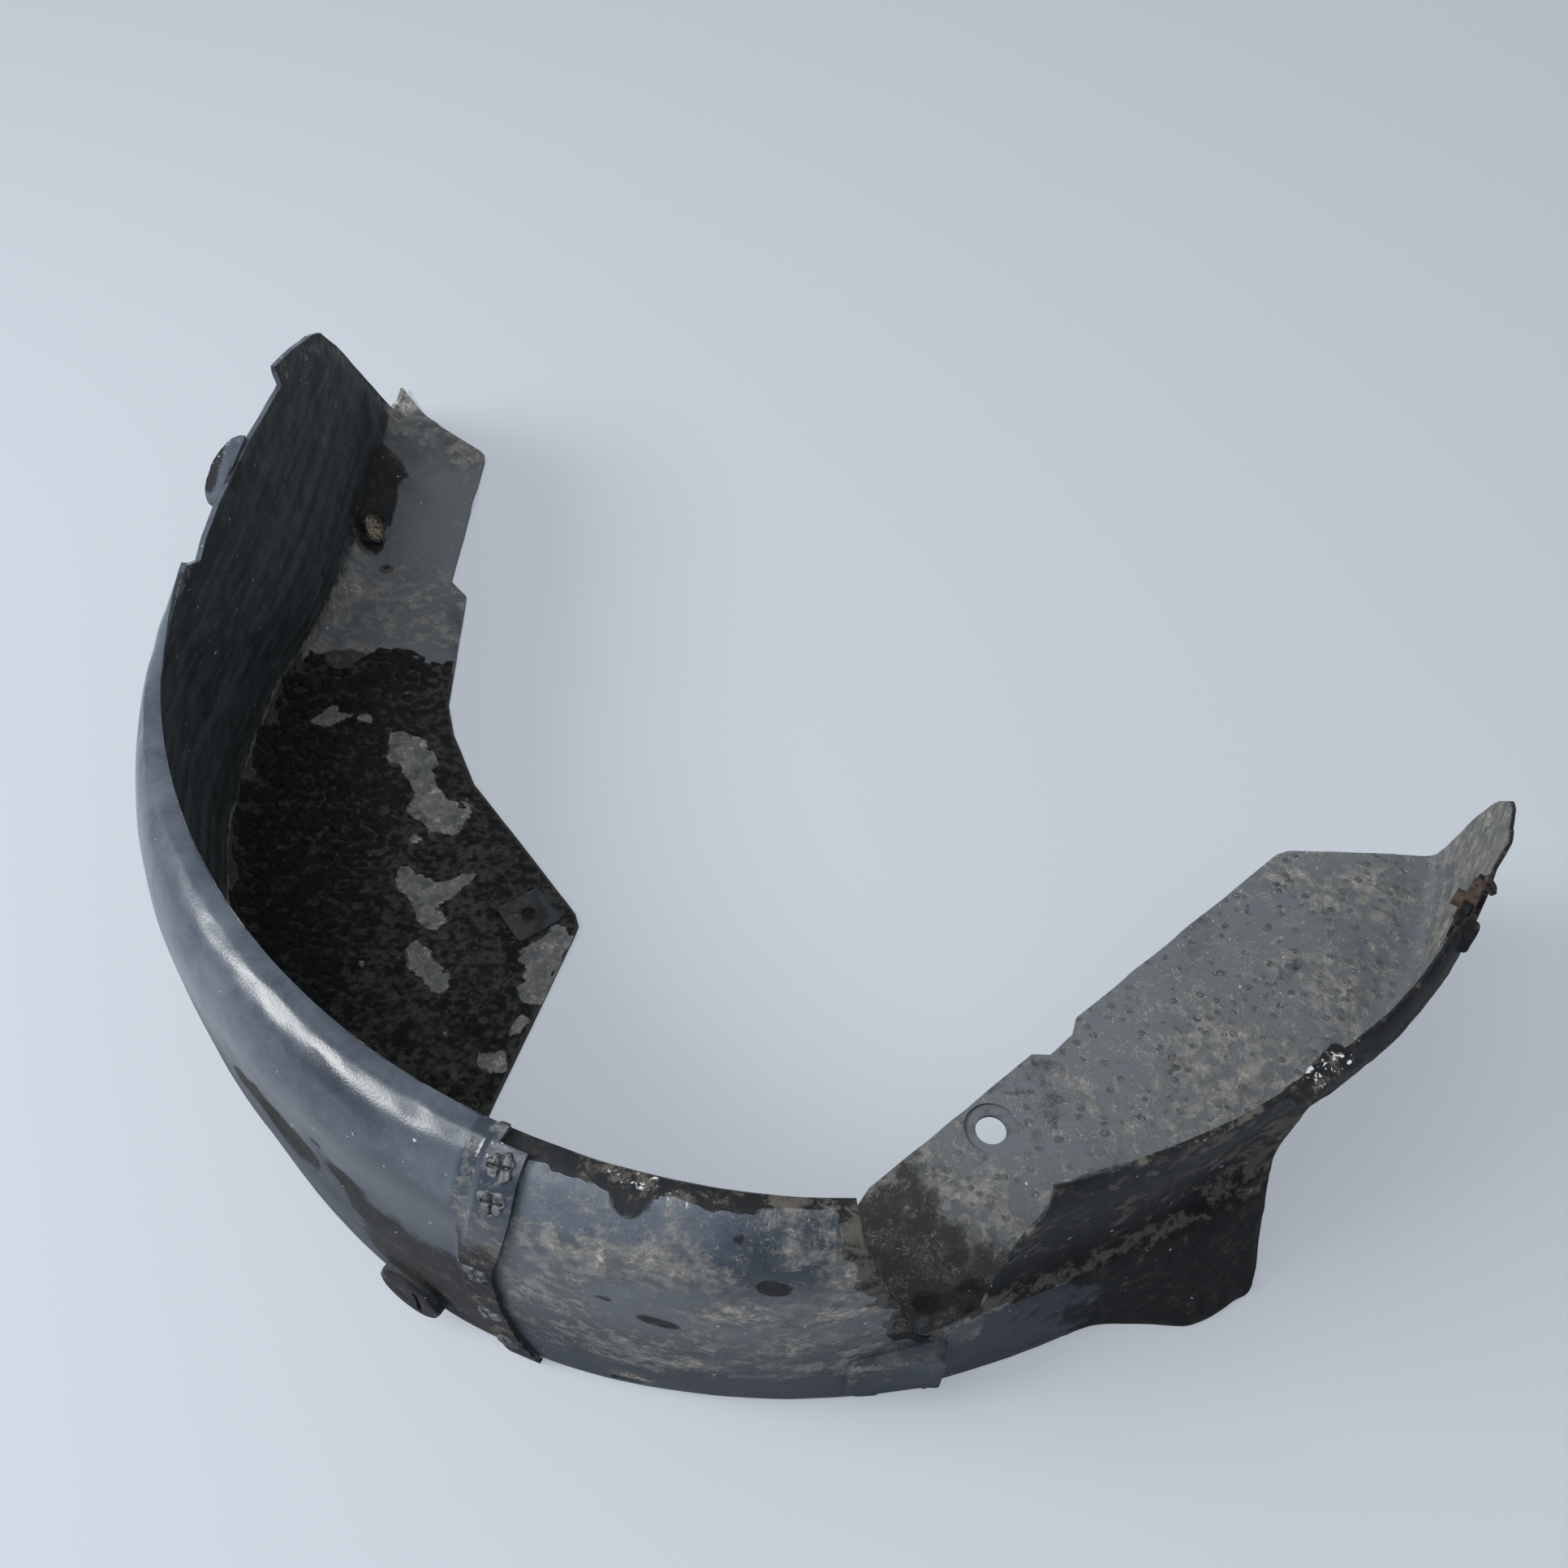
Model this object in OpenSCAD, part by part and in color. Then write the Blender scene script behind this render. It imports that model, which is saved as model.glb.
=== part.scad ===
// Front wheel arch liner: two moulded shells, welded together at a lap on the crown.
// It lies on its inboard face. The wheel axis is vertical and the crown faces -Y.
// A station is an angle about the wheel axis. Past -180 the arch runs on as a straight leg.

/* [Arch] */
// Radius of the rim about the wheel axis
rim_radius = 365; // [355:1:375]
// Height of the rim over the inboard face
arch_depth = 220; // [205:1:235]
// Thickness of the moulded walls
wall = 3; // [2.4:0.2:3.8]
// How far the crown stands outside its rim
crown_bulge = 31; // [20:1:40]
// Height of the rounded shoulder under the rim
shoulder_drop = 26; // [18:1:34]
// How far the crown's foot stands outside the rim's radius
foot_spread = 21; // [13:1:29]
// Radius of the fold between the tread wall and the inboard panels
fold_radius = 17; // [12:1:22]
// Width of the turned-in edge where the crown has no panel
foot_flange = 14; // [10:1:20]
// How much the crown's wall swells between shoulder and foot
crown_swell = 4; // [0:0.5:8]

/* [Long leg] */
// Length of the straight leg past the wheel axis
long_leg = 430; // [415:1:450]
// How far the straight leg's wall stands inside the rim's radius
leg_inset = 2; // [-6:1:8]
// Outward set of the foot before the diagonal kink
kink_set = 18; // [8:1:24]
// Length of the wall, along the leg, that the diagonal kink crosses
kink_run = 180; // [140:5:220]
// Radius of the wide fold along the straight leg
leg_fold = 36; // [24:1:44]
// Diameter of the fastener hole in the leg's corner face
corner_hole = 21; // [16:0.5:24]
// Diameter of the small hole in the panel's corner pad
pad_hole = 9.5; // [6:0.5:12]
// Side of the square corner pad
pad_side = 30; // [24:1:36]
// Height of the corner pad over the panel
pad_rise = 1.6; // [1:0.2:3]

/* [Short leg] */
// Distance of the panel's straight inner edge from the wheel axis
edge_distance = 240; // [230:1:250]
// Height of the panel over the inboard face
shelf_height = 82; // [76:1:88]
// Thickness of the panel
shelf_thickness = 3.6; // [3.2:0.2:4.4]
// How far the engine-side box flares outside the wall
box_flare = 28; // [16:1:34]
// Height of the ledge over the flared box
ledge_height = 98; // [88:1:110]
// Depth of the recess in the wall above the ledge
ledge_recess = 10; // [4:1:14]
// Diameter of the fastener hole in the panel
panel_hole = 16.5; // [12:0.5:20]
// Diameter of the round seat about that hole
seat_diameter = 29; // [26:0.5:34]
// Depth of the round seat
seat_depth = 1.6; // [0.8:0.2:2]

/* [Rim notch] */
// Station of the notch's lowest point
notch_station = -80.2; // [-82:0.2:-78]
// Height of the notch's lowest point
notch_floor = 86; // [86:1:96]

/* [Welded lap] */
// Station of the lap strip's free edge
seam_station = -109.6; // [-111:0.2:-108]
// Width of the lap strip, in degrees about the wheel axis
lap_width = 2.4; // [2:0.1:3]
// How far the seam bows along the arch, in degrees
seam_bow = 1; // [0:0.1:1.4]
// Clearance between the lap strip and the wall under it
lap_clearance = 0.3; // [0.2:0.05:0.5]
// Diameter of a weld spot
weld_diameter = 11; // [8:0.5:13]
// Height of a weld spot over the strip
weld_rise = 0.9; // [0.5:0.1:1.5]

/* [Outside bosses] */
// Diameter of the round boss beside the seam
boss_diameter = 38; // [30:1:44]
// Height of the round boss over the wall
boss_rise = 10; // [7:1:14]
// Width of the clip pocket along the arch
pocket_width = 54; // [44:1:60]
// Height of the clip pocket
pocket_height = 52; // [44:1:60]
// How far the clip pocket stands outside the wall
pocket_rise = 9; // [7:1:14]

/* [Rim tabs and clip] */
// Station of the rim tab that the clip grips
clip_station = -31.2; // [-32.2:0.2:-30.2]
// Width of that tab
tab_width = 25; // [22:1:28]
// Thickness of the rim tabs
tab_thickness = 3; // [2:0.2:4]
// Thickness of the spring steel of the clip
clip_steel = 1.2; // [0.8:0.1:1.6]
// Width of the clip
clip_width = 16; // [12:0.5:20]
// Length of the clip's legs
clip_length = 15; // [12:0.5:16]
// Bore of the clip's thread
clip_bore = 4.2; // [3:0.1:6]
// Clearance on each side between the clip and the tab that it grips
clip_clearance = 0.3; // [0.2:0.05:0.5]

/* [Hidden] */
plastic = [0.16, 0.18, 0.21];
dusty_plastic = [0.27, 0.27, 0.27];
rusty_steel = [0.42, 0.26, 0.16];
$fn = 48;

foot_radius = rim_radius + foot_spread;
leg_offset = rim_radius - leg_inset;
// Straight length of the leg for each degree of station past -180
degree_run = 6.4;
leg_end_station = -180 - long_leg / degree_run;
// Overcut that takes a cutter clear of the wall that it trims
overcut = 40;
// Rows of facets between the control points of a section, from the rim to the panel edge
section_steps = [3, 4, 2, 2, 3, 3, 4, 2];
joggle_span = 0.7;
tuck = lap_width - 0.2;
box_centre = [-0.6, 18];
// Station at which the engine-side box ends and the foot of the wall starts to climb
box_end = -50.6;
box_end_span = 1.8;

// Outlines are drawn for a rim radius of 365 and a depth of 220, and follow those two sizes
plan = rim_radius / 365;
rise = arch_depth / 220;
function in_plan(points) = [for (p = points) [p[0] * plan, p[1] > 0 ? p[1] : p[1] * plan]];
function in_height(points) = [for (p = points) [p[0], p[1] * rise]];
function in_side(points) = [for (p = points) [p[0] * plan, p[1] * rise]];

function mix(a, b, share) = a + (b - a) * share;
function ease(x) = let (k = min(max(x, 0), 1)) k * k * (3 - 2 * k);
function leg_station(y) = -180 - y / degree_run;

// Cubic curve through a table of [station, value] rows
function slope(t, i) = let (a = max(i - 1, 0), b = min(i + 1, len(t) - 1))
    (t[b][1] - t[a][1]) / (t[b][0] - t[a][0]);
function row_of(t, x, i = 0) = i >= len(t) - 2 || x < t[i + 1][0] ? i : row_of(t, x, i + 1);
function curve(t, x) =
    let (i = row_of(t, x), run = t[i + 1][0] - t[i][0], k = min(max((x - t[i][0]) / run, 0), 1))
    (2 * k + 1) * (1 - k) * (1 - k) * t[i][1] + k * (1 - k) * (1 - k) * run * slope(t, i)
    + (3 - 2 * k) * k * k * t[i + 1][1] + k * k * (k - 1) * run * slope(t, i + 1);

// Values of the section along the arch, drawn at a few stations
bulge_share = [[-250, 0], [-178, 0], [-174, 0.18], [-160, 0.62], [-145, 0.96], [-128, 1], [-100, 1],
    [-90, 0.88], [-82, 0.55], [-74, 0.14], [-68, 0], [-50, 0], [-44, 0.2], [0, 0.2]];
swell_share = [[-250, 0], [-190, 0], [-176, 0.6], [-150, 1], [-95, 1], [-80, 0], [0, 0]];
foot_set = [[-255, -20], [-180, -20], [-166, -13], [-150, -3], [-130, 3], [-118, 4], [-108, 2],
    [-98, -3], [-88, -7], [-80, -11], [-74, -15], [-66, -18], [-52, -20], [-50, -24],
    [-48.6, -34], [-46, -34], [-42, -27], [-38, -20], [-33, -13], [-25, -7], [-18, -5], [0, -2]];
rim_set = [[-255, 0], [-88, 0], [-74, 4], [-30, 4], [-24, 7], [-16, 14], [0, 26]];
fold_share = [[-255, -0.35], [-238, -0.2], [-228, 0.7], [-219, 1], [-211, 0.8], [-203, 0.2],
    [-196, 0], [0, 0]];
flare_share = [[-255, 0], [-66, 0], [-63.5, 0.1], [-60, 0.5], [-57, 0.92], [-53, 1.04], [-50.4, 1.06],
    [-49.8, 0.6], [-49, 0], [0, 0]];
recess_share = [[-255, 0], [-80, 0], [-75, 0.8], [-64, 1], [-54, 0.9], [-49, 0], [0, 0]];
long_reach = [[-255, 262], [-225, 262], [-210, 258], [-195, 242], [-186, 222], [-178, 196], [-168, 172],
    [-158, 156], [-147, 152], [-138, 196], [-131, 246], [-126, 300], [-122.6, 352], [-120, 372]];

function rim_at(s) = (s < -180 ? leg_offset : mix(leg_offset, rim_radius, ease((s + 180) / 20)))
    + curve(rim_set, s);
function bulge_at(s) = crown_bulge * curve(bulge_share, s);
function flare_at(s) = box_flare * curve(flare_share, s);
function foot_at(s) = foot_radius + curve(foot_set, s) - 3 * ease((-180 - s) / 20);
function fold_at(s) = mix(fold_radius, leg_fold, curve(fold_share, s));

// The foot of the wall climbs from the inboard face to the short leg's panel where the box ends
function climb_at(s) = ease((s - box_end) / box_end_span);
function base_at(s) = shelf_height * climb_at(s);
function flange_at(s) = mix(foot_flange, 2 * fold_radius + 6, climb_at(s));
function reach_at(s) =
    let (flange = foot_at(s) + flare_at(s) - flange_at(s))
    s < -120 ? min(curve(long_reach, s), flange) : flange;

// Outward set of the wall on the crown side of the diagonal kink, most at the foot
function kink_at(s, z) =
    let (past = (s - leg_station(kink_run * (1 - z / arch_depth))) * degree_run)
    kink_set * (1 - z / arch_depth) * ease(past / 90) * (1 - ease((s + 180) / 22));
function wall_at(s, z) =
    let (share = min(max((z - base_at(s)) / (arch_depth - shoulder_drop - base_at(s)), 0), 1))
    mix(foot_at(s), rim_at(s) + bulge_at(s), share)
    + crown_swell * curve(swell_share, s) * sin(180 * share) + kink_at(s, z);

// Control points of the section at a station, as [radius, height]
function section(s) =
    let (
        rim = rim_at(s),
        bulge = bulge_at(s),
        fold = fold_at(s),
        flare = flare_at(s),
        recess = ledge_recess * curve(recess_share, s),
        base = base_at(s),
        low = base + 2 * fold,
        ledge = max(ledge_height - 10 + 14 * ease((s + 60) / 8), low + 10),
        corner = wall_at(s, base) + flare,
        reach = reach_at(s)
    ) [
        [rim, arch_depth],
        [rim + 0.5 * bulge, arch_depth + 0.06 * bulge - 2],
        [wall_at(s, arch_depth - shoulder_drop), arch_depth - shoulder_drop],
        [wall_at(s, ledge + 60) - recess, min(ledge + 60, arch_depth - shoulder_drop - 8)],
        [wall_at(s, ledge + 10) - recess, ledge + 10],
        [wall_at(s, ledge) + 0.08 * flare, ledge - 2],
        [wall_at(s, low) + 0.6 * flare, low],
        [corner, base],
        [corner - min(2 * fold, 0.6 * (corner - reach)), base],
        [reach, base]
    ];

// Smooth line that starts and ends on the control points and rounds each corner between them
function halfway(a, b) = (a + b) / 2;
function rounded_line(c, steps) =
    let (last = len(c) - 1)
    [for (i = [1 : last - 1], k = [0 : steps[i - 1] - 1])
        let (
            a = i == 1 ? c[0] : halfway(c[i - 1], c[i]),
            b = i == last - 1 ? c[last] : halfway(c[i], c[i + 1]),
            t = k / steps[i - 1]
        )
        (1 - t) * (1 - t) * a + 2 * t * (1 - t) * c[i] + t * t * b,
     c[last]];

// Stations near the seam bow along the arch with it, by the share of the bow at each height
bow_share = [[0, -0.2], [17, 0.25], [46, 0.95], [105, 1.1], [137, 1], [170, -0.1], [200, -0.9], [225, -0.9]];
function bowed(s, z) = s - seam_bow * curve(bow_share, z) * (1 - ease(abs(s - seam_station) / 14));
function placed(s, p) =
    let (a = bowed(s, p[1]))
    s < -180 ? [-p[0], (-180 - s) * degree_run, p[1]] : [p[0] * cos(a), p[0] * sin(a), p[1]];
function surface_line(s) = [for (p = rounded_line(section(s), section_steps)) placed(s, p)];

// Radius of the outside surface at a station and height
function crossing(c, z, i = 0) =
    i >= len(c) - 2 || c[i + 1][1] < z
    ? mix(c[i][0], c[i + 1][0], min((c[i][1] - z) / (c[i][1] - c[i + 1][1]), 1))
    : crossing(c, z, i + 1);
function radius_at(s, z) = crossing(rounded_line(section(s), section_steps), z);

// Unit normals of a grid of points, pointing away from the wheel
function unit(v) = v / norm(v);
function normals(g) =
    [for (i = [0 : len(g) - 1])
        [for (j = [0 : len(g[0]) - 1])
            unit(cross(
                g[i][min(j + 1, len(g[0]) - 1)] - g[i][max(j - 1, 0)],
                g[min(i + 1, len(g) - 1)][j] - g[max(i - 1, 0)][j]
            ))]];

// Closed shell between two skins, set off the lofted surface at each station
function quad(a, b, c, d) = [[a, b, c], [a, c, d]];
module shell(stations, sets) {
    grid = [for (s = stations) surface_line(s)];
    away = normals(grid);
    rows = len(grid);
    cols = len(grid[0]);
    outer = [for (i = [0 : rows - 1], j = [0 : cols - 1]) grid[i][j] + away[i][j] * sets[i]];
    inner = [for (i = [0 : rows - 1], j = [0 : cols - 1]) grid[i][j] + away[i][j] * (sets[i] - wall)];
    size = rows * cols;
    skins = [for (i = [0 : rows - 2], j = [0 : cols - 2])
        let (n = i * cols + j)
        each concat(
            quad(n, n + cols, n + cols + 1, n + 1),
            quad(size + n, size + n + 1, size + n + cols + 1, size + n + cols)
        )];
    long_edges = [for (i = [0 : rows - 2])
        let (n = i * cols, m = n + cols - 1)
        each concat(
            quad(n, size + n, size + n + cols, n + cols),
            quad(m, m + cols, size + m + cols, size + m)
        )];
    end_edges = [for (j = [0 : cols - 2])
        let (n = j, m = size - cols + j)
        each concat(
            quad(n, n + 1, size + n + 1, size + n),
            quad(m, size + m, size + m + 1, m + 1)
        )];
    polyhedron(points = concat(outer, inner), faces = concat(skins, long_edges, end_edges));
}

// Turns a drawing of [along the arch, height] to face outward at a station
module facing(s, z, r) {
    rotate([0, 0, s]) translate([r, 0, z]) rotate([90, 0, 90]) children();
}
// Turns a drawing of [outward, height] to stand across the arch at a station
module across(s, z, r) {
    rotate([0, 0, s]) translate([r, 0, z]) rotate([90, 0, 0]) children();
}
// Flat sheet outline with rounded corners
module rounded_sheet(w, h, r) {
    offset(r) square([w - 2 * r, h - 2 * r], center = true);
}

// Long-leg moulding: stations from the leg's tip to the free edge of the lap strip
joggle_station = seam_station - lap_width;
long_stations = concat(
    [for (i = [0 : 64]) mix(leg_end_station, joggle_station - joggle_span, i / 64)],
    [joggle_station - joggle_span / 2, joggle_station, mix(joggle_station, seam_station, 0.5), seam_station]
);
function joggle_at(s) = (wall + lap_clearance) * ease((s - joggle_station + joggle_span) / joggle_span);

// Outline of the long leg seen from the side, as [y, z]: the rim line and the slanted end
leg_outline = [
    [-14, arch_depth + overcut], [-14, arch_depth - 2], [2, arch_depth - 13], [17, arch_depth - 9],
    [44, arch_depth - 7], [109, arch_depth - 12], [139, arch_depth - 17], [178, arch_depth - 24],
    [183, arch_depth - 13], [219, arch_depth - 26], [253, arch_depth - 40], [277, arch_depth - 54],
    [301, arch_depth - 81], [350, arch_depth - 146], [long_leg - 28, 5], [long_leg + overcut, 5],
    [long_leg + overcut, arch_depth + overcut]
];

module long_leg_trim() {
    translate([-leg_offset - overcut, 0, 0])
        rotate([90, 0, 90])
            linear_extrude(2 * overcut - 12) polygon(leg_outline);
}

// Inner edge of the long panel in plan, from the tip to the foot of the crown
long_panel_edge = [
    [-360, long_leg], [-345, 411], [-320, 385], [-283, 357], [-279, 352], [-278, 345], [-280, 206],
    [-266, 191], [-260, 84], [-251, 55], [-230, 13], [-193, -32], [-156, -78], [-149, -87],
    [-146, -95], [-148, -104], [-180, -225], [-201, -306]
];

module long_panel_window() {
    flange = flange_at(-121);
    free_edge = foot_at(-121) - flange - 0.5;
    translate([0, 0, -overcut / 2])
        linear_extrude(overcut)
            polygon(concat(
                in_plan(long_panel_edge),
                [for (s = [-123 : 1 : -118]) free_edge * [cos(s), sin(s)]],
                in_plan([[-100, -250], [-100, long_leg + overcut], [-360, long_leg + overcut]])
            ));
}

pad_place = [-178, -90] * plan;
module corner_pad() {
    translate([pad_place[0], pad_place[1], 0])
        rotate([0, 0, 38])
            translate([-pad_side / 2, -pad_side / 2, 0]) cube([pad_side, pad_side, wall + pad_rise]);
}

// Dished cup in the leg's wide fold, turned to face into the arch
cup_place = [14 - leg_offset, 250, 11];
cup_tilt = 58;
module in_cup() {
    translate(cup_place) rotate([0, 0, -13]) rotate([0, cup_tilt, 0]) children();
}

// Half-round tab on the long leg's rim
module leg_tab() {
    translate([-leg_offset, 77, arch_depth - 12])
        intersection() {
            linear_extrude(tab_thickness) scale([0.36, 1]) circle(31);
            translate([-2 * overcut + 2, -overcut, -1]) cube([2 * overcut, 2 * overcut, 2 * tab_thickness]);
        }
}

// Round boss beside the seam, hollow from the back, with a slot across its face
boss_station = -119.6;
boss_height = 38;
module boss(d, rise) {
    facing(boss_station, boss_height, foot_radius - 2) cylinder(d = d, h = rise + 8);
}

// Weld spots on the lap strip, as [station, height, tilt of the surface]
weld_spots = [[-110, 215, 62], [-110, 203, 32], [-111.8, 133, 2], [-111.9, 79, -2], [-111.5, 35, -4]];
module weld(spot) {
    height = spot[1] * rise;
    rotate([0, 0, spot[0]])
        translate([radius_at(spot[0], height), 0, height])
            rotate([0, 90 - spot[2], 0])
                translate([0, 0, wall / 2])
                    cylinder(d = weld_diameter, h = wall / 2 + lap_clearance + weld_rise);
}

// The strip ends short of the lip at the rim and short of the inboard face at the foot
module strip_ends() {
    rotate([0, 0, joggle_station + 0.3])
        rotate_extrude(angle = 6)
            translate([rim_radius - 20, arch_depth - 14]) square([29, overcut]);
    rotate([0, 0, joggle_station - 0.6])
        rotate_extrude(angle = 7)
            translate([foot_radius - 40, -10]) square([60, 15]);
    rotate([0, 0, joggle_station - 4])
        rotate_extrude(angle = 7)
            translate([foot_radius - 40, -10]) square([60, 10]);
}

module long_leg_moulding() {
    color(plastic)
    difference() {
        union() {
            difference() {
                shell(long_stations, [for (s = long_stations) joggle_at(s)]);
                long_leg_trim();
                strip_ends();
            }
            corner_pad();
            leg_tab();
            boss(boss_diameter, boss_rise);
            in_cup() translate([0, 0, -wall]) cylinder(d = corner_hole + 2 * wall, h = 7 + wall);
            for (spot = weld_spots) weld(spot);
        }
        long_panel_window();
        translate([pad_place[0], pad_place[1], -1]) cylinder(d = pad_hole, h = wall + pad_rise + 2);
        boss(boss_diameter - 2 * wall, boss_rise - wall);
        in_cup() cylinder(d = corner_hole, h = overcut);
        translate([cup_place[0] - overcut, cup_place[1] - overcut, -overcut])
            cube([2 * overcut, 2 * overcut, overcut]);
        facing(boss_station + 0.9, boss_height, foot_radius)
            linear_extrude(overcut) rounded_sheet(4, 24, 1.9);
    }
}

// Short-leg moulding: stations from the edge tucked under the lap to the end of the leg
short_stations = concat(
    [for (i = [0 : 26]) mix(seam_station - tuck, -66, i / 26)],
    [for (s = [-64.5 : 1.5 : -52.5]) s],
    [for (s = [-51.2 : 0.3 : -48.8]) s],
    [for (i = [0 : 22]) mix(-48.2, -7, i / 22)]
);

// Panel of the short leg in plan: its straight inner edge, then round under the wall
short_panel_edge = [
    [4, -388], [24, -318], [27, -308], [33, -298], [120, -edge_distance + 24], [130, -edge_distance + 25],
    [143, -edge_distance + 38], [146, -191], [270, -75], [275, -70.5], [282, -67.5], [300, -66.5],
    [372, -64]
];
function under_wall(s, inset) = (radius_at(s, shelf_height + 0.2) - inset) * [cos(s), sin(s)];
module shelf() {
    shelf_edge = [for (s = [-12 : -2 : -44]) under_wall(s, 2)];
    box_edge = [for (s = [-45 : -1 : -90]) under_wall(s, 1.8)];
    translate([0, 0, shelf_height - (shelf_thickness - wall) / 2])
        linear_extrude(shelf_thickness)
            intersection() {
                polygon(concat(in_plan([[320, -40]]), shelf_edge, box_edge, in_plan([[0, -300], [200, -40]])));
                polygon(in_plan(concat(short_panel_edge, [[420, -64], [420, -420], [4, -420]])));
            }
}

// Outline of the short leg seen from the side, as [y, z]: its torn end and the dropped rim
short_outline = [
    [-64, 40], [-64, 92], [-67, 112], [-69, 127], [-78, 153], [-85, 165], [-95, 177], [-107, 184],
    [-118, 182], [-124, 186], [-150, 196], [-183, 203], [-209, 205], [-210, 260], [40, 260], [40, 40]
];
module short_leg_trim() {
    translate([230 * plan, 0, 0])
        rotate([90, 0, 90])
            linear_extrude(200 * plan) polygon(in_side(short_outline));
}

// Opening of the torn notch, as [along the arch, height over its lowest point]
notch_outline = [
    [-58, 174], [-45, 136], [-43, 124], [-36, 104], [-32, 84], [-23, 60], [-19.6, 41], [-12, 15],
    [-4, 0], [8, 1], [24, 6], [31, 30], [33, 52], [35, 99], [39, 122], [41, 174]
];
module notch() {
    facing(notch_station, notch_floor, rim_radius - 45) linear_extrude(110) polygon(in_height(notch_outline));
}

// Clip pocket on the crown beside the notch: a tapered housing with a slot in its foot
pocket_station = -82.6;
pocket_middle = 54;
module pocket() {
    facing(pocket_station, pocket_middle, rim_radius + 3)
        linear_extrude(9 + pocket_rise, scale = 0.86) rounded_sheet(pocket_width, pocket_height, 9);
}
module pocket_slot() {
    facing(pocket_station + 1.2, pocket_middle - 21, rim_radius + 16)
        rotate([0, 0, 6]) linear_extrude(overcut) rounded_sheet(34, 5, 2.4);
}

hole_place = [96.5, -261] * plan;

// Standing tab on the rim that the clip grips
tab_radius = rim_radius + 4;
tab_top = arch_depth + 1;
module clip_tab() {
    across(clip_station, 0, tab_radius - tab_thickness)
        translate([0, 0, -tab_width / 2])
            linear_extrude(tab_width)
                polygon([
                    [0, tab_top - 31], [tab_thickness + 4, tab_top - 31], [tab_thickness + 3, tab_top - 21],
                    [tab_thickness, tab_top - 18], [tab_thickness, tab_top], [0, tab_top]
                ]);
}
// Torn tab bent in over the rim
module torn_tab() {
    rotate([0, 0, -53])
        translate([rim_radius - 5, 0, arch_depth - 5])
            rotate([0, 14, 8])
                linear_extrude(tab_thickness) rounded_sheet(22, 30, 6);
}

module short_leg_moulding() {
    color(dusty_plastic)
    difference() {
        union() {
            difference() {
                union() {
                    shell(short_stations, [for (s = short_stations) 0]);
                    shelf();
                }
                short_leg_trim();
                notch();
            }
            pocket();
            clip_tab();
            torn_tab();
        }
        pocket_slot();
        translate([hole_place[0], hole_place[1], 0]) cylinder(d = panel_hole, h = 2 * shelf_height);
        translate([hole_place[0], hole_place[1], shelf_height + (shelf_thickness + wall) / 2 - seat_depth])
            cylinder(d = seat_diameter, h = overcut);
        facing(clip_station, tab_top - clip_length / 2 - 1, rim_radius - 20)
            cylinder(d = clip_bore + 4, h = overcut);
        facing(-52.5, arch_depth - 18, rim_radius - 25) cylinder(d = 10, h = 60);
        facing(-102.5, 17, foot_radius - 30) linear_extrude(60) rounded_sheet(18, 7, 3.4);
        facing(-86.6, 98, foot_radius - 30) linear_extrude(60) rounded_sheet(10, 3, 1.4);
        facing(-69.5, 92, rim_radius - 30) cylinder(d = 8, h = 60);
    }
}

// Clip of folded spring steel that straddles the tab, with a nut formed on its inner leg
module rim_clip_nut() {
    gap = tab_thickness + 2 * clip_clearance;
    inner = -clip_clearance - clip_steel;
    outer = tab_thickness + clip_clearance + clip_steel;
    nut_height = tab_top - clip_length / 2 - 1;
    color(rusty_steel)
    difference() {
        union() {
            across(clip_station, tab_top + clip_clearance, tab_radius - tab_thickness)
                translate([0, 0, -clip_width / 2])
                    linear_extrude(clip_width)
                        polygon([
                            [inner, -clip_length], [inner, 0.4], [inner + 0.8, clip_steel],
                            [outer - 0.8, clip_steel], [outer, 0.4], [outer, 3 - clip_length],
                            [outer + 1.6, -clip_length], [outer + 0.6, -clip_length - 0.4],
                            [outer - clip_steel, 2.6 - clip_length], [outer - clip_steel, 0],
                            [inner + clip_steel, 0], [inner + clip_steel, -clip_length]
                        ]);
            facing(clip_station, nut_height, tab_radius - tab_thickness + inner - 4)
                cylinder(d = clip_bore + 4.4, h = 4.2);
        }
        facing(clip_station, nut_height, rim_radius - 20) cylinder(d = clip_bore, h = overcut);
    }
}

module in_frame() {
    translate([-box_centre[0], -box_centre[1], 0]) children();
}

in_frame() long_leg_moulding();
in_frame() short_leg_moulding();
in_frame() rim_clip_nut();
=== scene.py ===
"""Looks for a used wheel arch liner: two welded mouldings, dried mud and a rusty clip nut."""

import itertools
import math

import bmesh
import bpy
import numpy as np
from bpy.props import FloatProperty, PointerProperty
from mathutils import Matrix, Vector


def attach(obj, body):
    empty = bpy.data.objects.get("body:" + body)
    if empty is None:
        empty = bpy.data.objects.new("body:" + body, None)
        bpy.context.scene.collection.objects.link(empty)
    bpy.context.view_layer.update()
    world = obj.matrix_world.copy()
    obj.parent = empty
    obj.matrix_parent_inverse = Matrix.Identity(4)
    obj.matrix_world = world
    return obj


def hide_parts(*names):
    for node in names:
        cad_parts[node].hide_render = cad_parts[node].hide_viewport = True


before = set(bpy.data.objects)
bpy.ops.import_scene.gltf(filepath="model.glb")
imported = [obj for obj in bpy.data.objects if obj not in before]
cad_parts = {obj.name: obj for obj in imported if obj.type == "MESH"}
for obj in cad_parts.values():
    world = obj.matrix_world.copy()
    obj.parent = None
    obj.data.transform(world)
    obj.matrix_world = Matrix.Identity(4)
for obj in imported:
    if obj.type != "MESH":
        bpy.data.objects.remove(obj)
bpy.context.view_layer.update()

bl_info = {
    "name": "Wheel arch liner looks",
    "version": (1, 0, 0),
    "blender": (4, 5, 0),
    "location": "3D View > Sidebar > Arch Liner",
    "description": "Builds the detailed mouldings, the dirt and the studio around the packed CAD part",
    "category": "Object",
}

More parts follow.
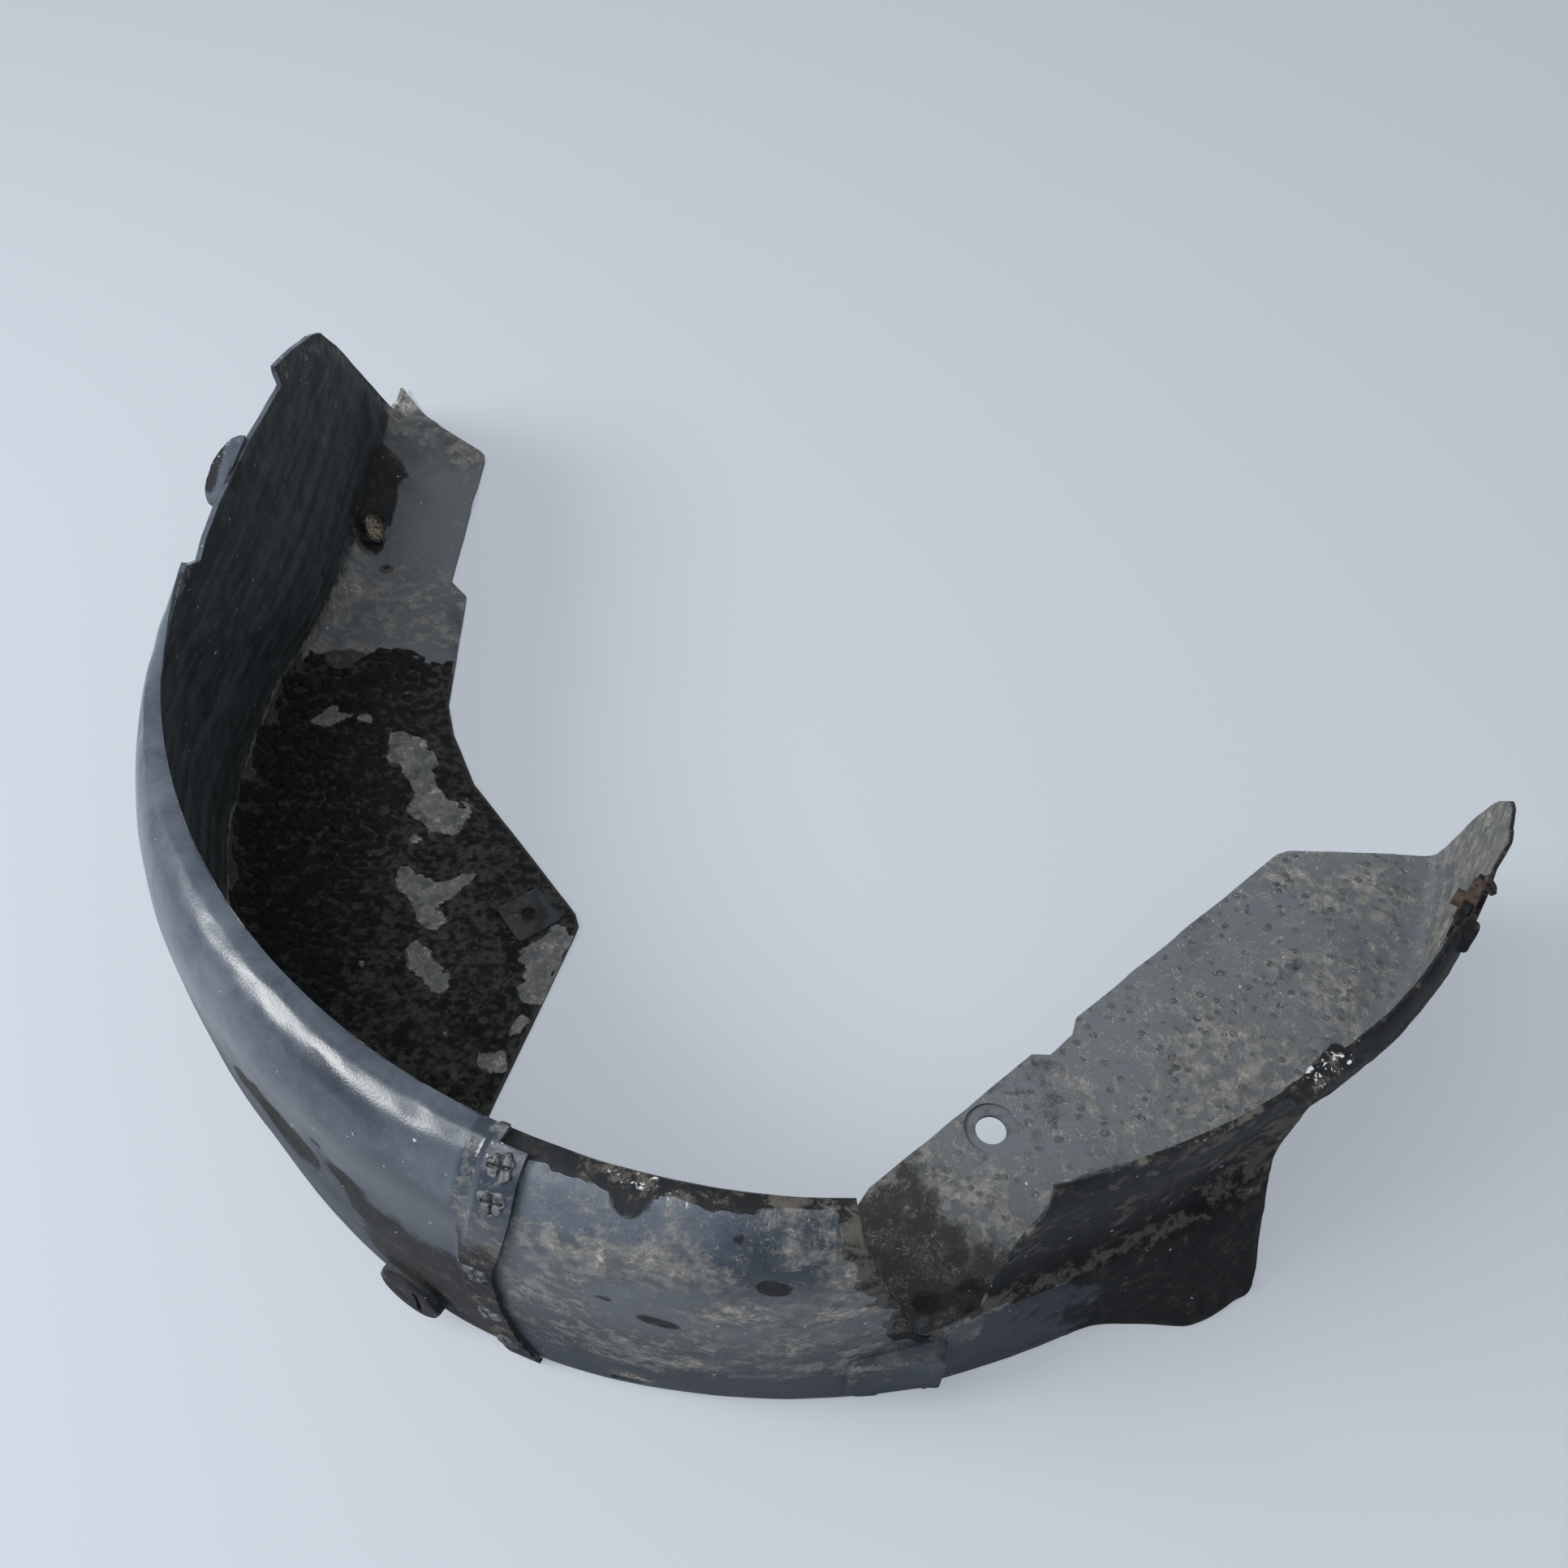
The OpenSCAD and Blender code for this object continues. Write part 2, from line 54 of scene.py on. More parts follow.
MM = 0.001
BOX_CENTRE = np.array([-0.6, 18.0, 0.0])

# Sizes in millimetres in the wheel's frame, repeated from the part's source. A station is an angle in degrees
# about the wheel's axis; beyond -180 it goes on along the straight leg. RUN is the leg's length for each station
# and WALL_RUN the arch wall's.
RIM, DEPTH, WALL, BULGE, DROP, FOOT = 365, 220, 3, 31, 26, 386
FOLD, FLANGE, SWELL, OFFSET, KINK_SET, KINK_RUN = 17, 14, 4, 363, 18, 180
LEG_FOLD, FLARE, LEDGE, RECESS, SHELF, SHELF_THICK = 36, 28, 98, 10, 82, 3.6
RUN, LONG_LEG, WALL_RUN = 6.4, 430, 6.7
BOX_END, BOX_END_SPAN = -50.6, 1.8
SEAM, LAP, BOW, LAP_GAP, JOGGLE_SPAN = -109.6, 2.4, 1.0, 0.3, 0.7
JOGGLE = SEAM - LAP
# Blocks cut at the lap's ends, as stations past the joggle, radii and heights from and to
LAP_CUTS = [(1.3, 6.3, 345, 374, 206, 246), (-0.6, 6.4, 346, 406, -10, 5), (-4, 3, 346, 406, -10, 0)]
TABLES = {
    "bulge": [(-250, 0), (-178, 0), (-174, 0.18), (-160, 0.62), (-145, 0.96), (-128, 1), (-100, 1),
              (-90, 0.88), (-82, 0.55), (-74, 0.14), (-68, 0), (-50, 0), (-44, 0.2), (0, 0.2)],
    "swell": [(-250, 0), (-190, 0), (-176, 0.6), (-150, 1), (-95, 1), (-80, 0), (0, 0)],
    "foot": [(-255, -20), (-180, -20), (-166, -13), (-150, -3), (-130, 3), (-118, 4), (-108, 2),
             (-98, -3), (-88, -7), (-80, -11), (-74, -15), (-66, -18), (-52, -20), (-50, -24),
             (-48.6, -34), (-46, -34), (-42, -27), (-38, -20), (-33, -13), (-25, -7), (-18, -5), (0, -2)],
    "rim": [(-255, 0), (-88, 0), (-74, 4), (-30, 4), (-24, 7), (-16, 14), (0, 26)],
    "fold": [(-255, -0.35), (-238, -0.2), (-228, 0.7), (-219, 1), (-211, 0.8), (-203, 0.2),
             (-196, 0), (0, 0)],
    "flare": [(-255, 0), (-66, 0), (-63.5, 0.1), (-60, 0.5), (-57, 0.92), (-53, 1.04), (-50.4, 1.06),
              (-49.8, 0.6), (-49, 0), (0, 0)],
    "bow": [(0, -0.2), (17, 0.25), (46, 0.95), (105, 1.1), (137, 1), (170, -0.1), (200, -0.9), (225, -0.9)],
    "recess": [(-255, 0), (-80, 0), (-75, 0.8), (-64, 1), (-54, 0.9), (-49, 0), (0, 0)],
    "reach": [(-255, 262), (-225, 262), (-210, 258), (-195, 242), (-186, 222), (-178, 196), (-168, 172),
              (-158, 156), (-147, 152), (-138, 196), (-131, 246), (-126, 300), (-122.6, 352), (-120, 372)],
}


def mix(a, b, share):
    return a + (b - a) * share


def ease(x):
    k = np.clip(x, 0, 1)
    return k * k * (3 - 2 * k)


def fade(x):
    return 1 - ease(x)


def bell(x, width):
    """1 at x = 0, falling smoothly to both sides within about a width."""
    return np.exp(-(x / width) ** 2)


def curve(name, x):
    """Cubic curve through one of the tables, for one value or an array."""
    t = np.array(TABLES[name], float)
    xs = np.atleast_1d(np.asarray(x, float))
    i = np.clip(np.searchsorted(t[:, 0], xs, side="right") - 1, 0, len(t) - 2)
    lo, hi = np.maximum(np.arange(len(t)) - 1, 0), np.minimum(np.arange(len(t)) + 1, len(t) - 1)
    slope = (t[hi, 1] - t[lo, 1]) / (t[hi, 0] - t[lo, 0])
    run = t[i + 1, 0] - t[i, 0]
    k = np.clip((xs - t[i, 0]) / run, 0, 1)
    out = (2 * k + 1) * (1 - k) ** 2 * t[i, 1] + k * (1 - k) ** 2 * run * slope[i]
    out = out + (3 - 2 * k) * k * k * t[i + 1, 1] + k * k * (k - 1) * run * slope[i + 1]
    return out if np.ndim(x) else float(out[0])


def rim_at(s):
    return (OFFSET if s < -180 else mix(OFFSET, RIM, ease((s + 180) / 20))) + curve("rim", s)


def foot_at(s):
    return FOOT + curve("foot", s) - 3 * ease((-180 - s) / 20)


def climb_at(s):
    return ease((s - BOX_END) / BOX_END_SPAN)


def reach_at(s):
    flange = foot_at(s) + FLARE * curve("flare", s) - mix(FLANGE, 2 * FOLD + 6, climb_at(s))
    return min(curve("reach", s), flange) if s < -120 else flange


def kink_at(s, z):
    past = (s + 180 + KINK_RUN * (1 - z / DEPTH) / RUN) * RUN
    return KINK_SET * (1 - z / DEPTH) * ease(past / 90) * fade((s + 180) / 22)


def wall_at(s, z):
    base = SHELF * climb_at(s)
    share = np.clip((z - base) / (DEPTH - DROP - base), 0, 1)
    out = mix(foot_at(s), rim_at(s) + BULGE * curve("bulge", s), share)
    return out + SWELL * curve("swell", s) * math.sin(math.pi * share) + kink_at(s, z)


def section(s):
    """Control points of the section at a station, as (radius, height)."""
    rim, bulge, top = rim_at(s), BULGE * curve("bulge", s), DEPTH - DROP
    fold, flare = mix(FOLD, LEG_FOLD, curve("fold", s)), FLARE * curve("flare", s)
    recess, base = RECESS * curve("recess", s), SHELF * climb_at(s)
    low = base + 2 * fold
    ledge = max(LEDGE - 10 + 14 * ease((s + 60) / 8), low + 10)
    corner, reach = wall_at(s, base) + flare, reach_at(s)
    return np.array([
        (rim, DEPTH),
        (rim + 0.5 * bulge, DEPTH + 0.06 * bulge - 2),
        (wall_at(s, top), top),
        (wall_at(s, ledge + 60) - recess, min(ledge + 60, top - 8)),
        (wall_at(s, ledge + 10) - recess, ledge + 10),
        (wall_at(s, ledge) + 0.08 * flare, ledge - 2),
        (wall_at(s, low) + 0.6 * flare, low),
        (corner, base),
        (corner - min(2 * fold, 0.6 * (corner - reach)), base),
        (reach, base),
    ])


def rounded_line(c, columns):
    """Points along the smooth line that rounds each corner of the control points, close together at the rim."""
    out, last = [], len(c) - 1
    t = np.linspace(0, 1, 24, endpoint=False)[:, None]
    for i in range(1, last):
        a = c[0] if i == 1 else (c[i - 1] + c[i]) / 2
        b = c[last] if i == last - 1 else (c[i] + c[i + 1]) / 2
        out.append((1 - t) ** 2 * a + 2 * t * (1 - t) * c[i] + t * t * b)
    line = np.vstack(out + [c[last:]])
    length = np.concatenate([[0], np.cumsum(np.linalg.norm(np.diff(line, axis=0), axis=1))])
    near = np.linspace(0, 30, columns // 5, endpoint=False)
    at = np.concatenate([near, np.linspace(30, length[-1], columns - len(near))])
    return np.stack([np.interp(at, length, line[:, 0]), np.interp(at, length, line[:, 1])], 1)


def placed(s, r, z):
    """Points of the wheel's frame for arrays of station, radius and height."""
    a = np.radians(s - BOW * curve("bow", z.ravel()).reshape(z.shape) * fade(np.abs(s - SEAM) / 14))
    straight = np.stack([-r, (-180 - s) * RUN, z], -1)
    round_part = np.stack([r * np.cos(a), r * np.sin(a), z], -1)
    return np.where((s < -180)[..., None], straight, round_part)


def grid_normals(g):
    along = np.gradient(g, axis=0)
    across = np.gradient(g, axis=1)
    n = np.cross(across, along)
    return n / np.maximum(np.linalg.norm(n, axis=2, keepdims=True), 1e-9)


def station_of(p):
    """Station, radius and height of points in the wheel's frame."""
    s = np.degrees(np.arctan2(p[:, 1], p[:, 0]))
    s = np.where(s > 60, s - 360, s)
    leg = (p[:, 0] < 0) & (p[:, 1] > 0)
    return np.where(leg, -180 - p[:, 1] / RUN, s), np.where(leg, -p[:, 0], np.hypot(p[:, 0], p[:, 1])), p[:, 2]


# Repeatable smooth noise for shaping meshes
def noise3(p, size, seed=0):
    """Value noise between -1 and 1 at an array of points in millimetres, with features about size across."""
    q = p / size + np.array([17.3, 5.1, 9.7]) * (seed + 1)
    base = np.floor(q).astype(np.int64)
    f = q - base
    f = f * f * (3 - 2 * f)
    out = np.zeros(q.shape[:-1])
    for corner in itertools.product((0, 1), repeat=3):
        c = (base + corner) * [73856093, 19349663, 83492791]
        h = c[..., 0] ^ c[..., 1] ^ c[..., 2] ^ (seed * 2654435761)
        h = (h ^ (h >> 13)) * 1274126177
        v = ((h ^ (h >> 16)) & 0xFFFF) / 32767.5 - 1
        w = np.where(corner, f, 1 - f)
        out += v * (w[..., 0] * w[..., 1]) * w[..., 2]
    return out


def layered(p, size, seed=0, layers=3):
    return sum(noise3(p, size / 2 ** k, seed + k) / 2 ** k for k in range(layers)) / (2 - 2 ** (1 - layers))


def blobs(p, rows):
    """Sum of soft round patches at points p, from rows of (x, y, z, radius, weight)."""
    out = np.zeros(p.shape[:-1])
    for x, y, z, r, w in rows:
        out += w * np.exp(-np.sum((p - [x, y, z]) ** 2, -1) / (r * r))
    return out


def to_frame(p):
    return (np.asarray(p, float) - BOX_CENTRE) * MM


def to_wheel(p):
    return np.asarray(p, float) / MM + BOX_CENTRE


def add_mesh(name, points, faces):
    """New object from points in the wheel's frame, in millimetres."""
    mesh = bpy.data.meshes.new(name)
    mesh.from_pydata(to_frame(points).tolist(), [], [list(map(int, f)) for f in faces])
    mesh.validate()
    mesh.update()
    obj = bpy.data.objects.new(name, mesh)
    bpy.context.scene.collection.objects.link(obj)
    return obj


def points_of(obj):
    co = np.zeros(len(obj.data.vertices) * 3, np.float32)
    obj.data.vertices.foreach_get("co", co)
    return to_wheel(co.reshape(-1, 3))


def add_solid(name, points, faces):
    """New object from the points and faces of a closed solid, with its normals outward."""
    obj = add_mesh(name, points, faces)
    bm = bmesh.new()
    bm.from_mesh(obj.data)
    bmesh.ops.recalc_face_normals(bm, faces=bm.faces)
    bm.to_mesh(obj.data)
    bm.free()
    obj.data.update()
    return obj


def moved(p, matrix):
    """Points p after a rigid move."""
    return p @ np.array(matrix.to_3x3()).T + np.array(matrix.translation)


def polar(s, r=1):
    """Point in plan at a station and radius."""
    return r * math.cos(math.radians(s)), r * math.sin(math.radians(s))


def closed_between(top, under):
    """Points and faces of the closed solid between two grids of points of the same shape."""
    rows, cols = top.shape[:2]
    size = rows * cols
    n = np.arange(size).reshape(rows, cols)
    a, b, c, d = n[:-1, :-1], n[1:, :-1], n[1:, 1:], n[:-1, 1:]
    faces = [np.stack([a, b, c, d], -1).reshape(-1, 4)]
    faces.append(np.stack([a, d, c, b], -1).reshape(-1, 4) + size)
    for ring, flip in ((n[:, 0], False), (n[:, -1], True), (n[0], True), (n[-1], False)):
        p, q = ring[:-1], ring[1:]
        wall = np.stack([p, p + size, q + size, q], -1)
        faces.append(wall[:, ::-1] if flip else wall)
    return np.vstack([top.reshape(-1, 3), under.reshape(-1, 3)]), np.vstack(faces)


def surface_grid(stations, columns, shape):
    """Grid of the shaped outside surface and its normals."""
    stations = np.asarray(stations, float)
    lines = np.stack([rounded_line(section(s), columns) for s in stations])
    s = np.repeat(stations[:, None], columns, 1)
    step = np.linalg.norm(np.diff(lines, axis=1), axis=2)
    from_rim = np.concatenate([np.zeros((len(stations), 1)), np.cumsum(step, axis=1)], 1)
    g = placed(s, lines[..., 0], lines[..., 1])
    g = g + grid_normals(g) * shape(s, lines[..., 1], from_rim, g)[..., None]
    return g, grid_normals(g)


def prism(name, outline, low, high, place):
    """Closed prism: place maps (along, up, out) arrays to points in the wheel's frame."""
    o = np.asarray(outline, float)
    area = np.sum(o[:, 0] * np.roll(o[:, 1], -1) - np.roll(o[:, 0], -1) * o[:, 1])
    if area < 0:
        o = o[::-1]
    k = len(o)
    pts = np.vstack([place(o[:, 0], o[:, 1], np.full(k, low)), place(o[:, 0], o[:, 1], np.full(k, high))])
    faces = [list(range(k))[::-1], list(range(k, 2 * k))]
    faces += [[i, (i + 1) % k, (i + 1) % k + k, i + k] for i in range(k)]
    return add_solid(name, pts, faces)


def side_place(a, u, w):
    return np.stack([w, a, u], -1)


def plan_place(a, u, w):
    return np.stack([a, u, w], -1)


def facing_place(s):
    c, t = polar(s)
    return lambda a, u, w: np.stack([w * c - a * t, w * t + a * c, u], -1)


def slot_outline(x, y, w, h, r, turn=0.0):
    """Rounded rectangle of width w and height h about (x, y)."""
    pts = []
    for cx, cy, start in ((1, 1, 0), (-1, 1, 90), (-1, -1, 180), (1, -1, 270)):
        for k in range(7):
            dx, dy = polar(start + 15 * k, r)
            pts.append((cx * (w / 2 - r) + dx, cy * (h / 2 - r) + dy))
    pts = np.array(pts)
    c, s = polar(turn)
    return np.stack([x + pts[:, 0] * c - pts[:, 1] * s, y + pts[:, 0] * s + pts[:, 1] * c], 1)


def ragged(points, step, amount, seed, spare=0):
    """Open line resampled at step, with worn wobbles; the first and last spare points stay sharp."""
    p = np.asarray(points, float)
    length = np.concatenate([[0], np.cumsum(np.linalg.norm(np.diff(p, axis=0), axis=1))])
    at = np.unique(np.concatenate([np.arange(0, length[-1], step), length]))
    q = np.stack([np.interp(at, length, p[:, 0]), np.interp(at, length, p[:, 1])], 1)
    tangent = np.gradient(q, axis=0)
    tangent /= np.maximum(np.linalg.norm(tangent, axis=1, keepdims=True), 1e-9)
    wobble = amount * layered(np.stack([at, at * 0, at * 0], 1), step * 5, seed, 3)
    fade = np.clip(np.minimum(at, length[-1] - at) / (step * 3), 0, 1)
    if spare:
        fade = fade * ((at > length[spare]) & (at < length[-1 - spare]))
    return q + np.stack([-tangent[:, 1], tangent[:, 0]], 1) * (wobble * fade)[:, None]


def combine(obj, others, operation="DIFFERENCE"):
    """Applies booleans to obj and removes the cutters."""
    for other in others:
        mod = obj.modifiers.new("cut", "BOOLEAN")
        mod.object = other
        mod.operation = operation
        mod.solver = "MANIFOLD"
    bpy.context.view_layer.update()
    graph = bpy.context.evaluated_depsgraph_get()
    mesh = bpy.data.meshes.new_from_object(obj.evaluated_get(graph))
    if len(mesh.polygons) == 0:
        raise RuntimeError("a boolean on " + obj.name + " left nothing")
    obj.modifiers.clear()
    old = obj.data
    obj.data = mesh
    mesh.name = obj.name
    bpy.data.meshes.remove(old)
    for other in others:
        data = other.data
        bpy.data.objects.remove(other)
        bpy.data.meshes.remove(data)
    return obj


def smooth(obj, angle=38):
    obj.data.polygons.foreach_set("use_smooth", [True] * len(obj.data.polygons))
    obj.data.set_sharp_from_angle(angle=math.radians(angle))


def write_attribute(obj, name, values):
    """Stores one number for each vertex of the mesh."""
    layer = obj.data.attributes.new(name, "FLOAT", "POINT")
    layer.data.foreach_set("value", np.asarray(values, np.float32))


# Long-leg moulding
LEG_OUTLINE = [(-14, 260), (-14, 218), (2, 207), (17, 211), (44, 213), (109, 208), (139, 203), (178, 196),
               (183, 207), (219, 194), (253, 180), (277, 166), (301, 139), (350, 74), (402, 5), (470, 5),
               (470, 260)]
LONG_EDGE = [(-360, 430), (-345, 411), (-320, 385), (-283, 357), (-279, 352), (-278, 345), (-280, 206),
             (-266, 191), (-260, 84), (-251, 55), (-230, 13), (-193, -32), (-156, -78), (-149, -87),
             (-146, -95), (-148, -104), (-180, -225), (-201, -306)]
LEG_CUT = LEG_OUTLINE[8:15]
VALLEY = [(-352, 330), (-328, 316), (-306, 300), (-280, 296)]
SWIRL = [(-262, -300, 148, 24, 1.4), (-236, -320, 136, 22, 1.2), (-215, -334, 140, 16, 0.8)]
PAD, CUP, CUP_TILT, CUP_HEADING = (-178, -90), (-349, 250, 11), 58, -13
PAD_SIDE, PAD_TURN, PAD_TOP, PAD_HOLE = 30, 38, 4.6, 4.75
CUP_OUTER, CUP_BORE, BOSS_OUTER, BOSS_BORE = 13.5, 10.5, 19, 16
TAB_MIDDLE, TAB_HALF, TAB_HEIGHTS = (-363, 77), (11, 31), (208, 211)
BOSS_STATION, BOSS_HEIGHT = -119.6, 38
SPOT_RADIUS, SPOT_HEIGHT, SPOT_EDGE, SPOT_BASE = 6.4, 3.7, 3.2, 1.5
# Weld spots as (station, height, tilt)
WELDS = [(-110, 215, 62), (-110, 203, 32), (-111.8, 133, 2), (-111.9, 79, -2), (-111.5, 35, -4)]


def joggle_at(s):
    return (WALL + LAP_GAP) * ease((s - JOGGLE + JOGGLE_SPAN) / JOGGLE_SPAN)


def line_distance(p, line):
    """Distance in a plane of points p from an open line."""
    best = np.full(p.shape[:-1], 1e9)
    for a, b in zip(np.asarray(line[:-1], float), np.asarray(line[1:], float)):
        k = np.clip(((p - a) @ (b - a)) / ((b - a) @ (b - a)), 0, 1)
        best = np.minimum(best, np.linalg.norm(p - (a + k[..., None] * (b - a)), axis=-1))
    return best


def waves(g):
    """Slight unevenness that both mouldings share, in millimetres."""
    return 0.55 * layered(g, 75, 1) + 0.22 * layered(g, 24, 5, 2)


def shoulder_dents(s, from_rim, g):
    """The flat lip beside the rim, turned in from a knocked and wavy crease along the shoulder."""
    along = np.stack([s * RUN, s * 0, s * 0], -1)
    wide = 9.5 + 4.5 * layered(along, 30, 11, 3)
    band = ease((s + 178) / 10) * fade((s + 92) / 8)
    lip = 0.3 * np.maximum(0, wide - from_rim)
    knocks = np.maximum(0, layered(g * [1, 1, 1.6], 20, 15, 2)) * bell(from_rim - wide - 3, 7)
    return -band * (lip + 1.6 * knocks)


def long_shape(s, z, from_rim, g):
    out = waves(g) + shoulder_dents(s, from_rim, g) + joggle_at(s)
    edge = line_distance(np.stack([g[..., 1], z], -1), LEG_CUT)
    out = out + 3.2 * ease((15 - edge) / 13) * (s < -200)
    dish = bell(g[..., 0] + 349, 16) * bell(g[..., 1] - 256, 30) * (z < 60)
    valley = bell(line_distance(g[..., :2], VALLEY), 13) * (z < 70)
    pits = -np.abs(layered(g, 18, 91, 3)) * blobs(g, SWIRL)
    return out + 2.2 * dish - 3.0 * valley + 1.6 * pits


def loft(name, stations, columns, shape):
    """Closed shell of the moulding's wall thickness over the given stations."""
    outer, n = surface_grid(stations, columns, shape)
    inner = outer - n * WALL
    outer[..., 2] = np.maximum(outer[..., 2], 0)
    return add_solid(name, *closed_between(outer, inner))


def lathe(name, profile, matrix, count=48):
    """Closed turned solid about its own Z axis from (radius, height) points, starting and ending on the axis."""
    pts, faces, rings = [], [], []
    for r, h in profile:
        if r < 1e-6:
            rings.append([len(pts)])
            pts.append((0, 0, h))
        else:
            rings.append(list(range(len(pts), len(pts) + count)))
            pts += [(*polar(360 * k / count, r), h) for k in range(count)]
    for a, b in zip(rings[:-1], rings[1:]):
        for k in range(count):
            m = (k + 1) % count
            if len(a) == 1:
                faces.append([a[0], b[k], b[m]])
            elif len(b) == 1:
                faces.append([a[k], a[m], b[0]])
            else:
                faces.append([a[k], a[m], b[m], b[k]])
    return add_solid(name, moved(np.array(pts), matrix), faces)


def facing_matrix(s, z, r):
    """Local Z points outward at a station, local Y points up."""
    c, t = polar(s)
    return Matrix(((-t, 0, c, r * c), (c, 0, t, r * t), (0, 1, 0, z), (0, 0, 0, 1)))


def bar(r, low, high):
    return [(0, low), (r, low), (r, high), (0, high)]


def sector(name, s0, s1, r0, r1, low, high):
    """Closed block between two stations, radii and heights."""
    a = np.radians(np.linspace(s0, s1, 12))
    out = np.stack([r1 * np.cos(a), r1 * np.sin(a)], 1)
    inn = np.stack([r0 * np.cos(a), r0 * np.sin(a)], 1)[::-1]
    return prism(name, np.vstack([out, inn]), low, high, plan_place)


def turned(axis, angle):
    """Rotation about an axis by an angle in degrees."""
    return Matrix.Rotation(math.radians(angle), 4, axis)


def cup_matrix():
    return Matrix.Translation(CUP) @ turned("Z", CUP_HEADING) @ turned("Y", CUP_TILT)


def plan_matrix(x, y):
    return Matrix.Translation((x, y, 0))


def build_long(density):
    end = -180 - LONG_LEG / RUN
    rows = int(262 * density)
    stations = np.concatenate([
        np.linspace(end, JOGGLE - JOGGLE_SPAN - 0.2, rows),
        np.linspace(JOGGLE - JOGGLE_SPAN, JOGGLE, 5),
        np.linspace(JOGGLE + 0.3, SEAM, 6),
    ])
    obj = loft("long_moulding_look", stations, int(150 * density), long_shape)
    combine(obj, [
        prism("c", ragged(LEG_OUTLINE, 4, 0.8, 3, 1), -403, -335, side_place),
    ] + [sector("c", JOGGLE + a, JOGGLE + b, *rest) for a, b, *rest in LAP_CUTS])
    pad = slot_outline(PAD[0], PAD[1], PAD_SIDE, PAD_SIDE, 2.5, PAD_TURN)
    tab = [(TAB_MIDDLE[0] - TAB_HALF[0] * math.cos(a), TAB_MIDDLE[1] + TAB_HALF[1] * math.sin(a))
           for a in np.linspace(-1.57, 1.57, 40)]
    tab = np.vstack([[(-361, 46)], ragged(tab, 2.5, 1.4, 8), [(-361, 108)]])
    boss = [(0, 0), (BOSS_OUTER, 0), (BOSS_OUTER, 15.2), (18.3, 17.2), (16.6, 18), (9, 18), (6.5, 17.4), (0, 17.4)]
    combine(obj, [
        prism("u", pad, 0.3, PAD_TOP, plan_place),
        prism("u", tab, *TAB_HEIGHTS, plan_place),
        lathe("u", boss, facing_matrix(BOSS_STATION, BOSS_HEIGHT, FOOT - 2)),
        lathe("u", [(0, -3), (12.6, -3), (CUP_OUTER, -2), (CUP_OUTER, 6), (12.9, 7), (0, 7)], cup_matrix(), 56),
    ], "UNION")
    free = foot_at(-121) - FLANGE - 0.5
    arc = [polar(s, free) for s in range(-123, -117)]
    edge = np.vstack([ragged(LONG_EDGE, 4, 0.5, 4), arc, [(-100, -250), (-100, 470), (-360, 470)]])
    combine(obj, [
        prism("c", edge, -20, 20, plan_place),
        lathe("c", bar(PAD_HOLE, -1, 7), plan_matrix(*PAD)),
        lathe("c", bar(BOSS_BORE, -4, 15), facing_matrix(BOSS_STATION, BOSS_HEIGHT, FOOT - 2)),
        lathe("c", bar(CUP_BORE, 0.001, 40), cup_matrix(), 56),
        prism("c", [(-389, 210), (-309, 210), (-309, 290), (-389, 290)], -40, 0, plan_place),
        prism("c", slot_outline(0, BOSS_HEIGHT, 4, 24, 1.9), FOOT, FOOT + 40, facing_place(BOSS_STATION + 0.9)),
    ])
    return obj


# Short-leg moulding
SHORT_EDGE = [(4, -388), (24, -318), (27, -308), (33, -298), (120, -216), (130, -215), (143, -202),
              (146, -191), (270, -75), (275, -70.5), (282, -67.5), (300, -66.5), (372, -64)]
SHORT_OUTLINE = [(-64, 40), (-64, 92), (-67, 112), (-69, 127), (-78, 153), (-85, 165), (-95, 177),
                 (-107, 184), (-118, 182), (-124, 186), (-150, 196), (-183, 203), (-209, 205), (-210, 260),
                 (40, 260), (40, 40)]
NOTCH_STATION, NOTCH_FLOOR = -80.2, 86
NOTCH = [(-58, 174), (-45, 136), (-43, 124), (-36, 104), (-32, 84), (-23, 60), (-19.6, 41), (-12, 15),
         (-4, 0), (8, 1), (24, 6), (31, 30), (33, 52), (35, 99), (39, 122), (41, 174)]
POCKET_STATION, POCKET_MIDDLE, SLOT_SHIFT = -82.6, 54, (1.2, -21)
PANEL_HOLE, PANEL_BORE, SEAT_BORE, SEAT_DEPTH = (96.5, -261), 8.25, 14.5, 1.6
CLIP_STATION, CLIP_TAB_HEIGHT, CLIP_BORE = -31.2, 212.5, 4.1
# Drains as (station, height, radius), slots as (station, height, width, length, corner) and torn flaps as
# (station, radius, height, length, width, seed, lean)
DRAINS = [(-52.5, 202, 5), (-69.5, 92, 4)]
WALL_SLOTS = [(-102.5, 17, 18, 7, 3.4), (-86.6, 98, 10, 3, 1.4)]
CHUNKS = [(-34.4, 373, 214, 17, 9, 31, 24), (-28.2, 374, 209, 14, 8, 37, -28)]
SHELF_TOP = SHELF + (SHELF_THICK + WALL) / 2


def outside_radius(s, z):
    line = rounded_line(section(s), 160)
    i = int(np.argmax(line[1:, 1] < z))
    a, b = line[i], line[i + 1]
    return a[0] + (b[0] - a[0]) * min((a[1] - z) / max(a[1] - b[1], 1e-6), 1)


def short_shape(s, z, from_rim, g):
    crease = bell(s + 22 + (z - 150) * 0.06, 1.6) * ease((z - 100) / 30)
    wear = 0.7 * np.maximum(0, layered(g, 9, 21, 2)) * ease((s + 76) / 8)
    tip = 1.3 * layered(g * [1, 1, 0.3], 12, 25, 2) * ease((s + 30) / 6) * ease((z - 90) / 20)
    under = 1.3 * ease((SHELF + 7 - z) / 4) * (s > BOX_END + BOX_END_SPAN)
    return waves(g) + shoulder_dents(s, from_rim, g) - 1.5 * crease + wear + tip + under


# Depth and width of the dip along the short leg's panel where it goes under the fold
DIP, DIP_WIDTH = 2.6, 20


